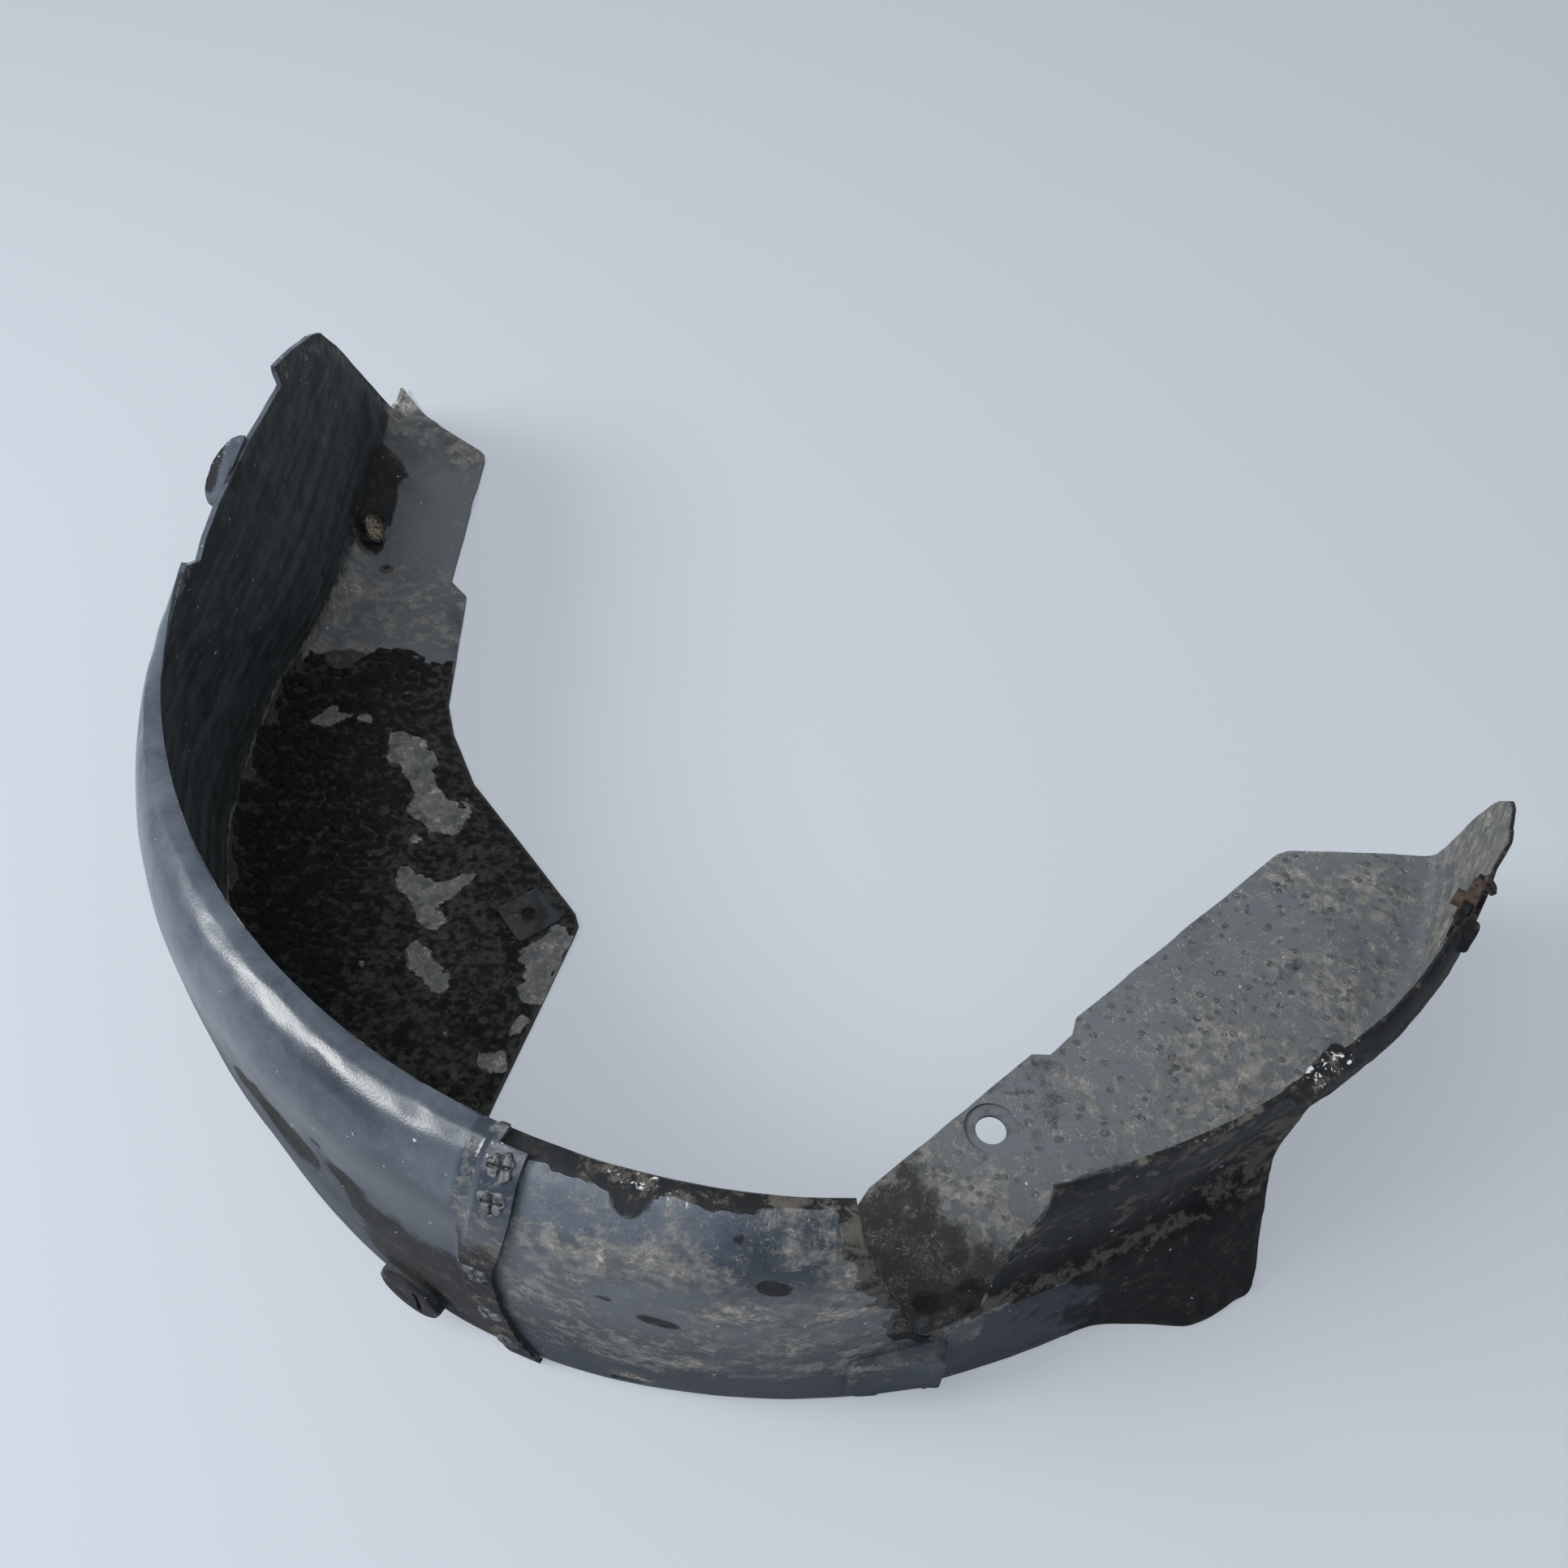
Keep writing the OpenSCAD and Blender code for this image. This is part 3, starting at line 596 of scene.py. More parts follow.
def shelf_height_at(x, y):
    """Top of the short leg's panel over the plan, with its dried ripples near the notch."""
    p = np.stack([x, y, x * 0], -1)
    ripple = bell(x - 70, 70) * bell(y + 330, 60) * layered(p * [1, 0.6, 1], 7, 31, 2)
    folds = bell(x - 330, 26) * bell(y + 100, 36) * np.sin((x * 0.5 + y * 0.9) / 3.1 + 2 * layered(p, 18, 35, 2))
    soft = 0.5 * layered(p, 60, 36, 2) + 0.22 * layered(p, 5, 33, 2)
    return SHELF_TOP + soft + 0.9 * ripple + 0.8 * folds


def build_shelf(density):
    """Panel of the short leg, cut to its worn edge; it dips under the wall's fold where the two meet."""
    step = 2.7 / density
    xs, ys = np.arange(-8, 402, step), np.arange(-402, -58, step)
    x, y = np.meshgrid(xs, ys, indexing="ij")
    height = shelf_height_at(x, y)
    stations = np.arange(-89, -11)
    ends = np.array([outside_radius(s, SHELF + 0.2) - 2 for s in stations])
    turn = np.degrees(np.arctan2(y, x))
    inward = np.interp(turn, stations, ends) - np.hypot(x, y)
    dip = DIP * fade(inward / DIP_WIDTH) * ease((turn + 49) / 3)
    top = np.stack([x, y, height - dip], -1)
    under = np.stack([x, y, height - SHELF_THICK], -1)
    slab = add_solid("shelf", *closed_between(top, under))
    rim = [polar(s, r) for r, s in zip(ends, stations)][::-1]
    inner = prism("c", [(320, -40)] + rim + [(0, -300), (200, -40)], 60, 110, plan_place)
    worn = np.vstack([ragged(SHORT_EDGE, 3, 0.7, 12), [(420, -64), (420, -420), (4, -420)]])
    combine(slab, [inner], "INTERSECT")
    combine(slab, [prism("c", worn, 60, 110, plan_place)], "INTERSECT")
    return slab


def stack(name, rings):
    """Closed solid through rings of equally many points, capped at both ends."""
    k = len(rings[0])
    faces = [list(range(k))[::-1], [len(rings) * k - k + i for i in range(k)]]
    for j in range(len(rings) - 1):
        faces += [[j * k + i, j * k + (i + 1) % k, j * k + k + (i + 1) % k, j * k + k + i] for i in range(k)]
    return add_solid(name, np.vstack(rings), faces)


# Rings of the pocket as (radius, share of its full size)
POCKET_RINGS = [(368, 1), (376, 0.938), (382, 0.892), (384.8, 0.868), (385.8, 0.85), (386, 0.82), (385.2, 0.7)]


def build_pocket():
    """Raised rounded box of the clip pocket."""
    f = facing_place(POCKET_STATION)
    rings = []
    for w, scale in POCKET_RINGS:
        o = slot_outline(0, POCKET_MIDDLE, 54 * scale, 52 * scale, 9 * scale)
        rings.append(f(o[:, 0], o[:, 1], np.full(len(o), w)))
    return stack("u", rings)


def ragged_loop(outline, step, amount, seed):
    """Closed outline with worn wobbles."""
    return ragged(np.vstack([outline, outline[:1]]), step, amount, seed)[:-1]


def torn_chunk(s, r, z, long, wide, seed, lean):
    """Ragged flap of torn plastic standing off the rim."""
    shape = ragged_loop(slot_outline(0, 0, wide, long, 3), 1.8, 1.8, seed)
    place = turned("Z", s) @ Matrix.Translation((r, 0, z)) @ turned("X", lean) @ turned("Y", 38)
    return prism("u", shape, -1.3, 1.3, lambda a, u, w: moved(np.stack([a, u, w], -1), place))


def build_short(density):
    d = 1 / density
    stations = np.concatenate([
        np.arange(SEAM - LAP + 0.2, -66, 0.5 * d), np.arange(-66, -52.2, 0.4 * d),
        np.arange(-52.2, -48.2, 0.16 * d), np.arange(-48.2, -7, 0.5 * d), [-7],
    ])
    obj = loft("short_moulding_look", stations, int(120 * density), short_shape)
    combine(obj, [build_shelf(density)], "UNION")
    notch = ragged(NOTCH, 2.5, 1.5, 17) + [0, NOTCH_FLOOR]
    combine(obj, [
        prism("c", ragged(SHORT_OUTLINE, 3, 0.9, 19, 0), 230, 430, side_place),
        prism("c", notch, 320, 430, facing_place(NOTCH_STATION)),
    ])

    def across(a, u, w):
        return moved(np.stack([366 + a, w, u], -1), turned("Z", CLIP_STATION))

    tab = [(0, 190), (7, 190), (6, 200), (3, 203), (3, 221), (0, 221)]
    torn = ragged_loop(slot_outline(0, 0, 11, 40, 4), 2, 2.2, 23)
    place = turned("Z", -53) @ Matrix.Translation((RIM + 3, 0, DEPTH - 4)) @ turned("Z", 8) @ turned("Y", 14)

    def bent(a, u, w):
        lift = 0.012 * (a + 8) ** 2 * (a > -8)
        return moved(np.stack([a, u, w + lift], -1), place)

    combine(obj, [
        build_pocket(),
        prism("u", tab, -12.5, 12.5, across),
        prism("u", torn, 0, 3, bent),
    ] + [torn_chunk(*row) for row in CHUNKS], "UNION")
    g = facing_place(POCKET_STATION + SLOT_SHIFT[0])
    slot = slot_outline(0, 0, 34, 5, 2.4, 6) + [0, POCKET_MIDDLE + SLOT_SHIFT[1]]
    combine(obj, [
        prism("c", slot, RIM + 16, RIM + 56, g),
        lathe("c", bar(PANEL_BORE, 0, 164), plan_matrix(*PANEL_HOLE), 64),
        lathe("c", bar(SEAT_BORE, SHELF_TOP - SEAT_DEPTH, 120), plan_matrix(*PANEL_HOLE), 64),
        lathe("c", bar(CLIP_BORE, 0, 40), facing_matrix(CLIP_STATION, CLIP_TAB_HEIGHT, RIM - 20)),
    ] + [
        prism("c", slot_outline(0, *row), FOOT - 30, FOOT + 30, facing_place(s)) for s, *row in WALL_SLOTS
    ] + [
        lathe("c", bar(r, 0, 65), facing_matrix(s, z, RIM - 30)) for s, z, r in DRAINS
    ])
    return obj


# Weld spots, mud and small pieces
def build_welds():
    """Melted spots with a crossed pit, low on the lap strip."""
    pts, faces, pits = [], [], []
    rings, spokes = 14, 48
    for k, (s, z, tilt) in enumerate(WELDS):
        turn = turned("Z", s) @ Matrix.Translation((outside_radius(s, z), 0, z)) @ turned("Y", 90 - tilt)
        base, local = len(pts), [(0, 0, SPOT_HEIGHT)]
        pits.append(1.0)
        for i, j in itertools.product(range(1, rings + 1), range(spokes)):
            q, a = i / rings, 2 * math.pi * j / spokes
            rim = SPOT_RADIUS * (1 + 0.12 * math.sin(3 * a + k) + 0.08 * math.sin(7 * a + 2 * k))
            x, y = q * rim * math.cos(a), q * rim * math.sin(a)
            arm = min(abs(x + 0.2 * y), abs(y - 0.15 * x))
            pit = math.exp(-(arm / 1.1) ** 2) * (q < 0.8)
            h = SPOT_HEIGHT + (1 - q ** 4) - pit + 0.2 * math.sin(5 * a + 9 * q + k)
            local.append((x, y, h if i < rings else SPOT_EDGE))
            pits.append(pit)
        local += [(x, y, SPOT_BASE) for x, y, _ in local[-spokes:]] + [(0, 0, SPOT_BASE)]
        pits += [0.0] * (spokes + 1)
        pts += [tuple(turn @ Vector(p)) for p in local]
        for j in range(spokes):
            m = (j + 1) % spokes
            faces.append((base, base + 1 + j, base + 1 + m))
            for i in range(rings):
                a = base + 1 + i * spokes
                faces.append((a + j, a + spokes + j, a + spokes + m, a + m))
            last = base + 1 + rings * spokes
            faces.append((last + j, base + len(local) - 1, last + m))
    obj = add_solid("weld_spots", np.array(pts), faces)
    write_attribute(obj, "pit", pits)
    return obj


# Bare places in the mud as (x, y, radius)
BARE = [(-287, 52, 10), (-276, 34, 12), (-264, 10, 12), (-250, -6, 14), (-246, -22, 13), (-262, -38, 9),
        (-262, -58, 8), (-254, -72, 10), (-248, -84, 11), (-234, -76, 9), (-222, -64, 9), (-238, -98, 9),
        (-243, -120, 8), (-236, -132, 10), (-228, -146, 9), (-160, -106, 12), (-172, -122, 13),
        (-166, -146, 13), (-172, -170, 9), (-182, -196, 9), (-342, 62, 11), (-318, 66, 10), (-306, 40, 7),
        (-282, 44, 8), (-270, 22, 11), (-256, -4, 10)]


def bare_share(p):
    """Above a half where the mud has come off the long leg's panel."""
    rows = [(x, y, 3, r, 0.74) for x, y, r in BARE]
    return blobs(p, rows) + 0.85 * layered(p, 15, 47, 5)


def mud_depth(p):
    """Depth of the dried mud on the long leg's panel, at points in the wheel's frame."""
    area = ease((116 - p[..., 1] + 46 * layered(p, 40, 41, 6)) / 4)
    keep = fade((bare_share(p) - 0.5) / 0.06)
    left = ease((-262 - p[..., 0]) / 50) * 0.6 + 0.4
    ripples = np.abs(layered(p * [0.8, 1.25, 1], 6.4, 43, 4))
    lumps = np.maximum(0, layered(p, 3.4, 51, 2))
    return area * keep * (0.4 + left * (3.0 * ripples + 2.0 * lumps)) - 0.45


def build_mud(density):
    """Rippled skin of dried mud over the inside of the long leg's panel and fold."""
    stations = np.arange(-202, -121, 0.2 / density)
    outer, n = surface_grid(stations, int(430 * density), long_shape)
    first = int(np.argmax(outer[:, :, 2].min(axis=0) < 44))
    inner = (outer - n * WALL)[:, first:]
    n = n[:, first:]
    climb = inner[..., 2] - 9 - 12 * layered(inner, 22, 53, 4)
    depth = mud_depth(inner) - 0.3 * np.maximum(0, climb)
    edge = line_distance(inner[..., :2], LONG_EDGE)
    inside = inside_outline(inner[..., :2])
    depth = np.clip(np.minimum(depth, (edge - 1.2) * 0.4), -0.6, 4)
    kept = inside & (depth > -0.59) & (edge > 0.8)
    top = inner - n * depth[..., None]
    rows, cols = depth.shape
    k = np.arange(rows * cols).reshape(rows, cols)
    cell = kept[:-1, :-1] | kept[1:, :-1] | kept[1:, 1:] | kept[:-1, 1:]
    whole = inside[:-1, :-1] & inside[1:, :-1] & inside[1:, 1:] & inside[:-1, 1:]
    faces = np.stack([k[:-1, :-1], k[:-1, 1:], k[1:, 1:], k[1:, :-1]], -1)[cell & whole]
    used, faces = np.unique(faces, return_inverse=True)
    obj = add_mesh("panel_mud", top.reshape(-1, 3)[used], faces.reshape(-1, 4))
    write_attribute(obj, "depth", depth.ravel()[used])
    return obj


def inside_outline(plan):
    """True where points in plan lie on the panel's side of its inner edge."""
    poly = np.array(LONG_EDGE + [(-201, -400), (-420, -400), (-420, 430)], float)
    x, y = plan[..., 0], plan[..., 1]
    hit = np.zeros(x.shape, bool)
    for a, b in zip(poly, np.roll(poly, -1, 0)):
        cross = (a[1] > y) != (b[1] > y)
        if abs(b[1] - a[1]) > 1e-9:
            hit ^= cross & (x < (b[0] - a[0]) * (y - a[1]) / (b[1] - a[1]) + a[0])
    return hit


# Dirt and wear masks with painted shade, sheen and glints, one number for each vertex
MASKS = ("outer", "dust", "haze_and_sheen", "grime_and_shade", "mud", "pale", "painted_glint", "curl", "matte")
# Line of the painted shade along the panel's valley crease
VALLEY_SHADE = [(-357, 345), (-332, 318), (-306, 300), (-286, 297)]
# Patches of the masks, as rows of (x, y, z, radius, weight)
PATCHES = {
    "wiped_panel": [(-312, 252, 3, 42, 0.3), (-322, 320, 3, 34, 0.3), (-290, 118, 3, 26, 0.2)],
    "dark_corner": [(-345, 296, 8, 34, 0.5), (-352, 270, 8, 22, 0.3)],
    "leg_tip": [(-352, 428, 3, 30, 0.3), (-290, 352, 3, 16, 0.5)],
    "hazy_panel": [(-312, 236, 3, 48, 0.7), (-300, 300, 3, 30, 0.4), (-320, 130, 3, 40, 0.4)],
    # Painted shade in the recess round the cup and at the wall's foot beside it
    "cup_recess_shade": [
        (-354, 303, 14, 15, 1.2), (-351, 288, 9, 14, 1.2), (-356, 320, 16, 12, 0.9), (-350, 266, 8, 15, 1.2),
        (-345, 236, 8, 13, 0.9), (-356, 247, 20, 14, 0.9), (-330, 214, 3, 9, 0.7), (-357, 335, 12, 12, 0.6),
        (-352, 398, 30, 16, 0.5)],
    "shoulder_stains": [
        (-274, -288, 144, 16, 0.6), (-262, -300, 150, 12, 0.5), (-241, -317, 137, 14, 0.6),
        (-252, -306, 128, 15, 0.5), (-217, -334, 142, 12, 0.6), (-228, -322, 160, 10, 0.5),
        (-205, -338, 120, 10, 0.5), (-192, -353, 60, 20, 0.45)],
    "worn_tab": [(-377, 77, 211, 24, 1.3)],
    "tab_glints": [(-376, 98, 211, 10, 1.0), (-380, 80, 211, 7, 1.0)],
    "wiped_crown": [
        (-12, -392, 185, 12, 0.9), (-30, -382, 212, 10, 0.8), (-50, -392, 170, 9, 0.5), (-75, -390, 160, 10, 0.6),
        (-62, -392, 140, 12, 0.5), (-88, -388, 150, 8, 0.5)],
    "shelf_dust": [
        (70, -325, 85, 55, 0.35), (130, -320, 85, 40, 0.15), (330, -110, 85, 34, 0.25), (246, -223, 85, 40, 0.3),
        (290, -169, 85, 30, 0.25), (235, -130, 85, 60, -0.2)],
    "crown_spots": [
        (-82, -366, 217, 9, 0.5), (-76, -373, 214, 7, 0.6), (-69, -368, 217, 7, 0.5), (-62, -376, 213, 6, 0.5),
        (-30, -382, 212, 7, 0.6), (-12, -392, 185, 8, 0.8), (-18, -390, 188, 6, 0.6), (-70, -385, 196, 6, 0.5),
        (-88, -388, 150, 7, 0.6), (-70, -392, 136, 9, 0.7), (-58, -393, 132, 8, 0.6), (-100, -386, 146, 7, 0.5)],
    "shelf_spots": [(84, -352, 85, 14, 0.8), (60, -356, 85, 10, 0.7)],
    "leg_end": [(310, -210, 214, 15, 1.3), (330, -177, 209, 14, 1.3)],
    "rim_glints": [(-82, -361, 219, 7, 0.8), (-69, -361, 220, 6, 1), (-56, -370, 218, 5, 1)],
    "corner_glints": [(228, -289, 219, 12, 1.2), (218, -290, 216, 9, 1)],
    "slot_ends": [(-83, -379, 26, 7, 1.0), (-76, -380, 24, 5, 1.0)],
}


def patch(p, name):
    """Sum of a named set of patches at points p."""
    return blobs(p, PATCHES[name])


def outward_share(obj):
    """1 where the surface faces away from the wheel, 0 where it faces the wheel."""
    p = points_of(obj)
    n = np.zeros(len(p) * 3, np.float32)
    obj.data.vertices.foreach_get("normal", n)
    n = n.reshape(-1, 3)
    s, r, z = station_of(p)
    leg = (p[:, 0] < 0) & (p[:, 1] > 0)
    length = np.maximum(np.hypot(p[:, 0], p[:, 1]), 1e-6)
    radial = np.where(leg[:, None], [[-1.0, 0.0]], p[:, :2] / length[:, None])
    away = np.stack([r - 300, np.where(p[:, 0] > 0, z - 150, z - 105)], 1)
    away[:, 1] = np.where((z < 112) & (r < 352), -90, away[:, 1])
    away /= np.maximum(np.linalg.norm(away, axis=1, keepdims=True), 1e-6)
    facing = (n[:, 0] * radial[:, 0] + n[:, 1] * radial[:, 1]) * away[:, 0] + n[:, 2] * away[:, 1]
    return (facing > 0).astype(float), p, s, r, z


def write_strand(obj, s, r, z):
    """Coordinates along the arch, across it and through the wall, in metres, for lengthwise streaks."""
    layer = obj.data.attributes.new("strand", "FLOAT_VECTOR", "POINT")
    along = np.where(s < -180, (-180 - s) * RUN + 180 * RUN, -s * RUN)
    values = np.stack([along, z, r], 1) * MM
    layer.data.foreach_set("vector", values.astype(np.float32).ravel())


def paint_long(obj):
    """Masks of the long-leg moulding: dusty panel, streaked wall, hazy outside with a painted sheen toward the
    shoulder, painted shade low on the outside, inside the arch, in the cup's recess by the disc and along the panel's
    valley, stains round the pad and painted glints on the tab.
    """
    out, p, s, r, z = outward_share(obj)
    inn = 1 - out
    panel = inn * fade((z - 8) / 16)
    wall = inn - panel
    edge = line_distance(p[:, 1:], LEG_CUT) + 60 * (s > -200)
    border = fade((edge - 9) / 7) * (z > 4)
    cloud = layered(p, 60, 61, 3)
    bare = ease((bare_share(p) - 0.42) / 0.1) * (p[:, 1] < 100)
    dust = panel * (0.44 + 0.22 * cloud + 0.22 * bare) + wall * (0.05 + 0.16 * cloud)
    dust += inn * (0.3 * border + 0.3 * bell(z - 14, 9) * (s > -222))
    dust += wall * 0.4 * fade((213 - z) / 6) * (s > -200)
    dust -= panel * (patch(p, "wiped_panel") + patch(p, "dark_corner"))
    dust += out * (0.02 + 0.16 * layered(p, 34, 63, 4)) + out * 0.1 * fade((z - 30) / 50)
    dust += patch(p, "leg_tip")
    # Pale film outside that rises toward the shoulder, so the top reads lighter: a painted sheen over a real haze.
    haze_and_sheen = out * (0.6 + 0.35 * layered(p, 70, 65, 4)) * (0.1 + 0.9 * ease((z - 130) / 75))
    haze_and_sheen += panel * (0.6 + patch(p, "hazy_panel"))
    # Painted shade in the cup's recess and at the wall's foot beside it.
    grime_and_shade = inn * patch(p, "cup_recess_shade")
    # Painted shade along the panel's valley crease; round the pad a real stain.
    valley = line_distance(p[:, :2], VALLEY_SHADE)
    from_pad = np.hypot(p[:, 0] - PAD[0], p[:, 1] - PAD[1])
    grime_and_shade += panel * 0.42 * bell(valley, 13) + 0.75 * np.exp(-from_pad / 16) * inn
    # Painted shade on the inside of the arch, which faces away from the light.
    grime_and_shade += wall * (s > -180) * 0.35
    grime_and_shade += out * 0.9 * patch(p, "shoulder_stains")
    # Painted shade: the outside darkens towards its bottom.
    grime_and_shade += out * (0.24 + 0.16 * ease((s + 136) / 12)) * fade((z - 90) / 90) * (s > -190)
    # Painted shade low on the outside's end beside the seam, where the film is also taken off.
    low_end = out * ease((s + 126) / 8) * ease((194 - z) / 30)
    haze_and_sheen -= 0.7 * low_end
    grime_and_shade += 0.28 * low_end
    mud = inn * ease((118 - p[:, 1] + 30 * layered(p, 44, 41, 4)) / 9) * fade((z - 8) / 10) * (1 - bare)
    local = (p - np.array(CUP)) @ np.array(cup_matrix().to_3x3())
    pale = ((np.hypot(local[:, 0], local[:, 1]) < CUP_BORE + 0.1) & (np.abs(local[:, 2]) < 0.6)) * 1.0
    strip = out * (s > JOGGLE - 1)
    matte = np.maximum(wall, out * ease((190 - z) / 90))
    # The tab's glints are painted highlights.
    write_all(obj, s, r, z, out, dust + 0.3 * strip, haze_and_sheen * (1 - 0.5 * strip),
              grime_and_shade + patch(p, "worn_tab") * 0.9 + 0.22 * strip, mud, pale, patch(p, "tab_glints"), bare * 0.4, matte)


def paint_short(obj):
    """Masks of the short-leg moulding: dusty crown and panel, dark rim and notch, painted shadow in the recess,
    painted shade on the box and the far right outside, a painted highlight by the seam and painted glints.
    """
    out, p, s, r, z = outward_share(obj)
    inn = 1 - out
    cloud = layered(p, 46, 71, 4)
    top = inn * (z > 80) * (z < 92) * (p[:, 0] > 0)
    crown = out * (s < -76)
    recess = out * (s > -80) * ease((z - 87) / 5)
    line = 46 + 16 * layered(p, 40, 72, 3)
    above = ease((z - line + 12) / 34)
    dust = crown * (0.5 + 0.5 * cloud) * above
    dust -= crown * 0.4 * ease((s + 92) / -14) * ease((z - 196) / 14)
    dust -= crown * patch(p, "wiped_crown")
    dust += top * (0.3 + 0.3 * cloud + patch(p, "shelf_dust"))
    dust += recess * (0.25 + 0.6 * layered(p, 30, 79, 4))
    dust += inn * (1 - top) * (0.3 + 0.3 * cloud + 0.35 * ease((s + 40) / 12))
    dust += out * (s > -76) * bell(z - 96 - 0.35 * (s + 60), 6) * (s < -58) * 0.45
    dust += crown * 0.3 * ease((s + 98) / 6) * ease((z - 178) / 20) * (0.8 + 0.6 * cloud)
    haze_and_sheen = crown * (0.5 + 0.35 * layered(p, 60, 73, 3)) * above
    # Painted highlight: a pale film high on the crown beside the seam.
    haze_and_sheen += crown * 0.3 * ease((-94 - s) / 8) * ease((z - 190) / 14)
    haze_and_sheen += top * (0.85 + 0.4 * layered(p, 50, 75, 3)) + inn * (1 - top) * (0.5 + 0.6 * ease((s + 40) / 12))
    margin = line_distance(np.stack([(s - NOTCH_STATION) * WALL_RUN, z - NOTCH_FLOOR], 1), NOTCH[:9])
    grime_and_shade = crown * fade((margin - 6 - 9 * layered(p, 16, 77, 4)) / 3) * 1.1
    lip = 370.5 + 3.5 * ease((-90 - s) / 6) + 6 * layered(p, 12, 78, 4)
    grime_and_shade += crown * (z > 205) * ease(s + 111.2) * fade((r - lip) / 2.5) * 0.95
    grime_and_shade += crown * patch(p, "crown_spots")
    # Painted shadow of the panel's overhanging edge over the recess.
    grime_and_shade += recess * 0.72
    # Painted shade on the box face below the ledge, which faces away from the light.
    grime_and_shade += out * (s > -74) * (z < 92) * (0.44 + 0.42 * ease((s + 72 + 8 * layered(p, 26, 80, 4)) / 14))
    # Darker towards the bottom of the crown.
    grime_and_shade += crown * 0.2 * fade((z - 40) / 50)
    grime_and_shade += top * patch(p, "shelf_spots")
    # Painted shade on the far right outside, which faces away from the light; the leg_end patches darken the torn
    # chunks at the leg's end.
    grime_and_shade += out * (s > -50) * 0.9 + patch(p, "leg_end")
    # Painted glints on the rim and the torn corner.
    painted_glint = crown * patch(p, "rim_glints") + patch(p, "corner_glints")
    seat = top * (np.hypot(p[:, 0] - PANEL_HOLE[0], p[:, 1] - PANEL_HOLE[1]) < SEAT_BORE + 0.3)
    beside, over = (s - POCKET_STATION - SLOT_SHIFT[0]) * WALL_RUN, z - POCKET_MIDDLE - SLOT_SHIFT[1]
    slot = out * (np.abs(beside) < 17.2) * (np.abs(over) < 4.5) * (r > 378) * (r < 384)
    slot += out * patch(p, "slot_ends")
    mud = top * ease((-290 - p[:, 1] + 0.35 * (90 - p[:, 0]) + 24 * cloud) / 44) * 0.6
    mud += top * 0.25 * ease((layered(p, 34, 83, 3) - 0.05) / 0.3)
    curl = top * (1 - 0.9 * seat) * (0.85 + 0.4 * cloud) + crown * 0.35 * above + recess * 0.2
    matte = np.maximum(inn * (1 - top) * 0.6, out * ease((150 - z) / 90))
    write_all(obj, s, r, z, out, dust - 0.2 * seat, haze_and_sheen, grime_and_shade, mud, slot * 0.6, painted_glint, curl, matte)


def write_all(obj, s, r, z, *masks):
    """Stores the masks in the order of MASKS, and the coordinates for the streaks."""
    for name, values in zip(MASKS, masks):
        write_attribute(obj, name, np.clip(values, 0, 2) + np.zeros(len(s)))
    write_strand(obj, s, r, z)


# Materials
def tone(red, green, blue):
    """Linear colour of an 8-bit display colour."""
    def one(v):
        v /= 255
        return v / 12.92 if v <= 0.04045 else ((v + 0.055) / 1.055) ** 2.4
    return (one(red), one(green), one(blue), 1.0)


class Tree:
    """Small helper that adds shader nodes and links them."""

    def __init__(self, name):
        self.mat = bpy.data.materials.new(name)
        self.mat.use_nodes = True
        self.nodes = self.mat.node_tree.nodes
        self.links = self.mat.node_tree.links
        self.nodes.clear()
        self.shader = self.nodes.new("ShaderNodeBsdfPrincipled")
        self.surface = self.nodes.new("ShaderNodeOutputMaterial").inputs["Surface"]
        self.links.new(self.shader.outputs[0], self.surface)

    def feed(self, socket, value):
        if isinstance(value, bpy.types.NodeSocket):
            self.links.new(value, socket)
        else:
            socket.default_value = value

    def node(self, kind, **inputs):
        """New node with its inputs by name, with _ for a space."""
        node = self.nodes.new("ShaderNode" + kind)
        for key, value in inputs.items():
            self.feed(node.inputs[key.replace("_", " ")], value)
        return node

    def place(self):
        return self.node("TexCoord").outputs["Object"]

    def attribute(self, name, vector=False):
        node = self.node("Attribute")
        node.attribute_name = name
        return node.outputs["Vector" if vector else "Fac"]

    def math(self, operation, a, b=0.0):
        node = self.node("Math")
        node.operation = operation
        self.feed(node.inputs[0], a)
        self.feed(node.inputs[1], b)
        return node.outputs[0]

    def times(self, a, b):
        return self.math("MULTIPLY", a, b)

    def plus(self, a, b):
        return self.math("ADD", a, b)

    def larger(self, a, b):
        return self.math("MAXIMUM", a, b)

    def between(self, value, low, high, start=0.0, end=1.0):
        """Smooth step of a value from start, at low, to end, at high."""
        node = self.node("MapRange", Value=value, From_Min=low, From_Max=high, To_Min=start, To_Max=end)
        node.interpolation_type = "SMOOTHSTEP"
        return node.outputs["Result"]

    def blend(self, share, a, b):
        node = self.node("Mix", Factor=share)
        node.data_type = "RGBA"
        self.feed(node.inputs[6], a)
        self.feed(node.inputs[7], b)
        return node.outputs[2]

    def lay(self, colour, share, strength, over):
        """The colour with another one over it, which shows by a share times a strength."""
        return self.blend(self.times(share, strength), colour, over)

    def scaled(self, vector, *scale):
        return self.node("Mapping", Vector=vector, Scale=scale).outputs[0]

    def noise(self, vector, scale, detail, rough, twist=0.0):
        node = self.node("TexNoise", Vector=vector, Scale=scale, Detail=detail, Roughness=rough, Distortion=twist)
        return node.outputs["Fac"]

    def cells(self, vector, scale):
        return self.node("TexVoronoi", Vector=vector, Scale=scale).outputs["Distance"]

    def bump(self, height, strength, distance):
        return self.node("Bump", Height=height, Strength=strength, Distance=distance).outputs[0]

    def finish(self, colour, rough, normal, **fixed):
        self.feed(self.shader.inputs["Base Color"], colour)
        self.feed(self.shader.inputs["Roughness"], rough)
        if normal is not None:
            self.feed(self.shader.inputs["Normal"], normal)
        for key, value in fixed.items():
            self.shader.inputs[key].default_value = value
        return self.mat


LONG_INDEX, SHORT_INDEX = 1.42, 1.32


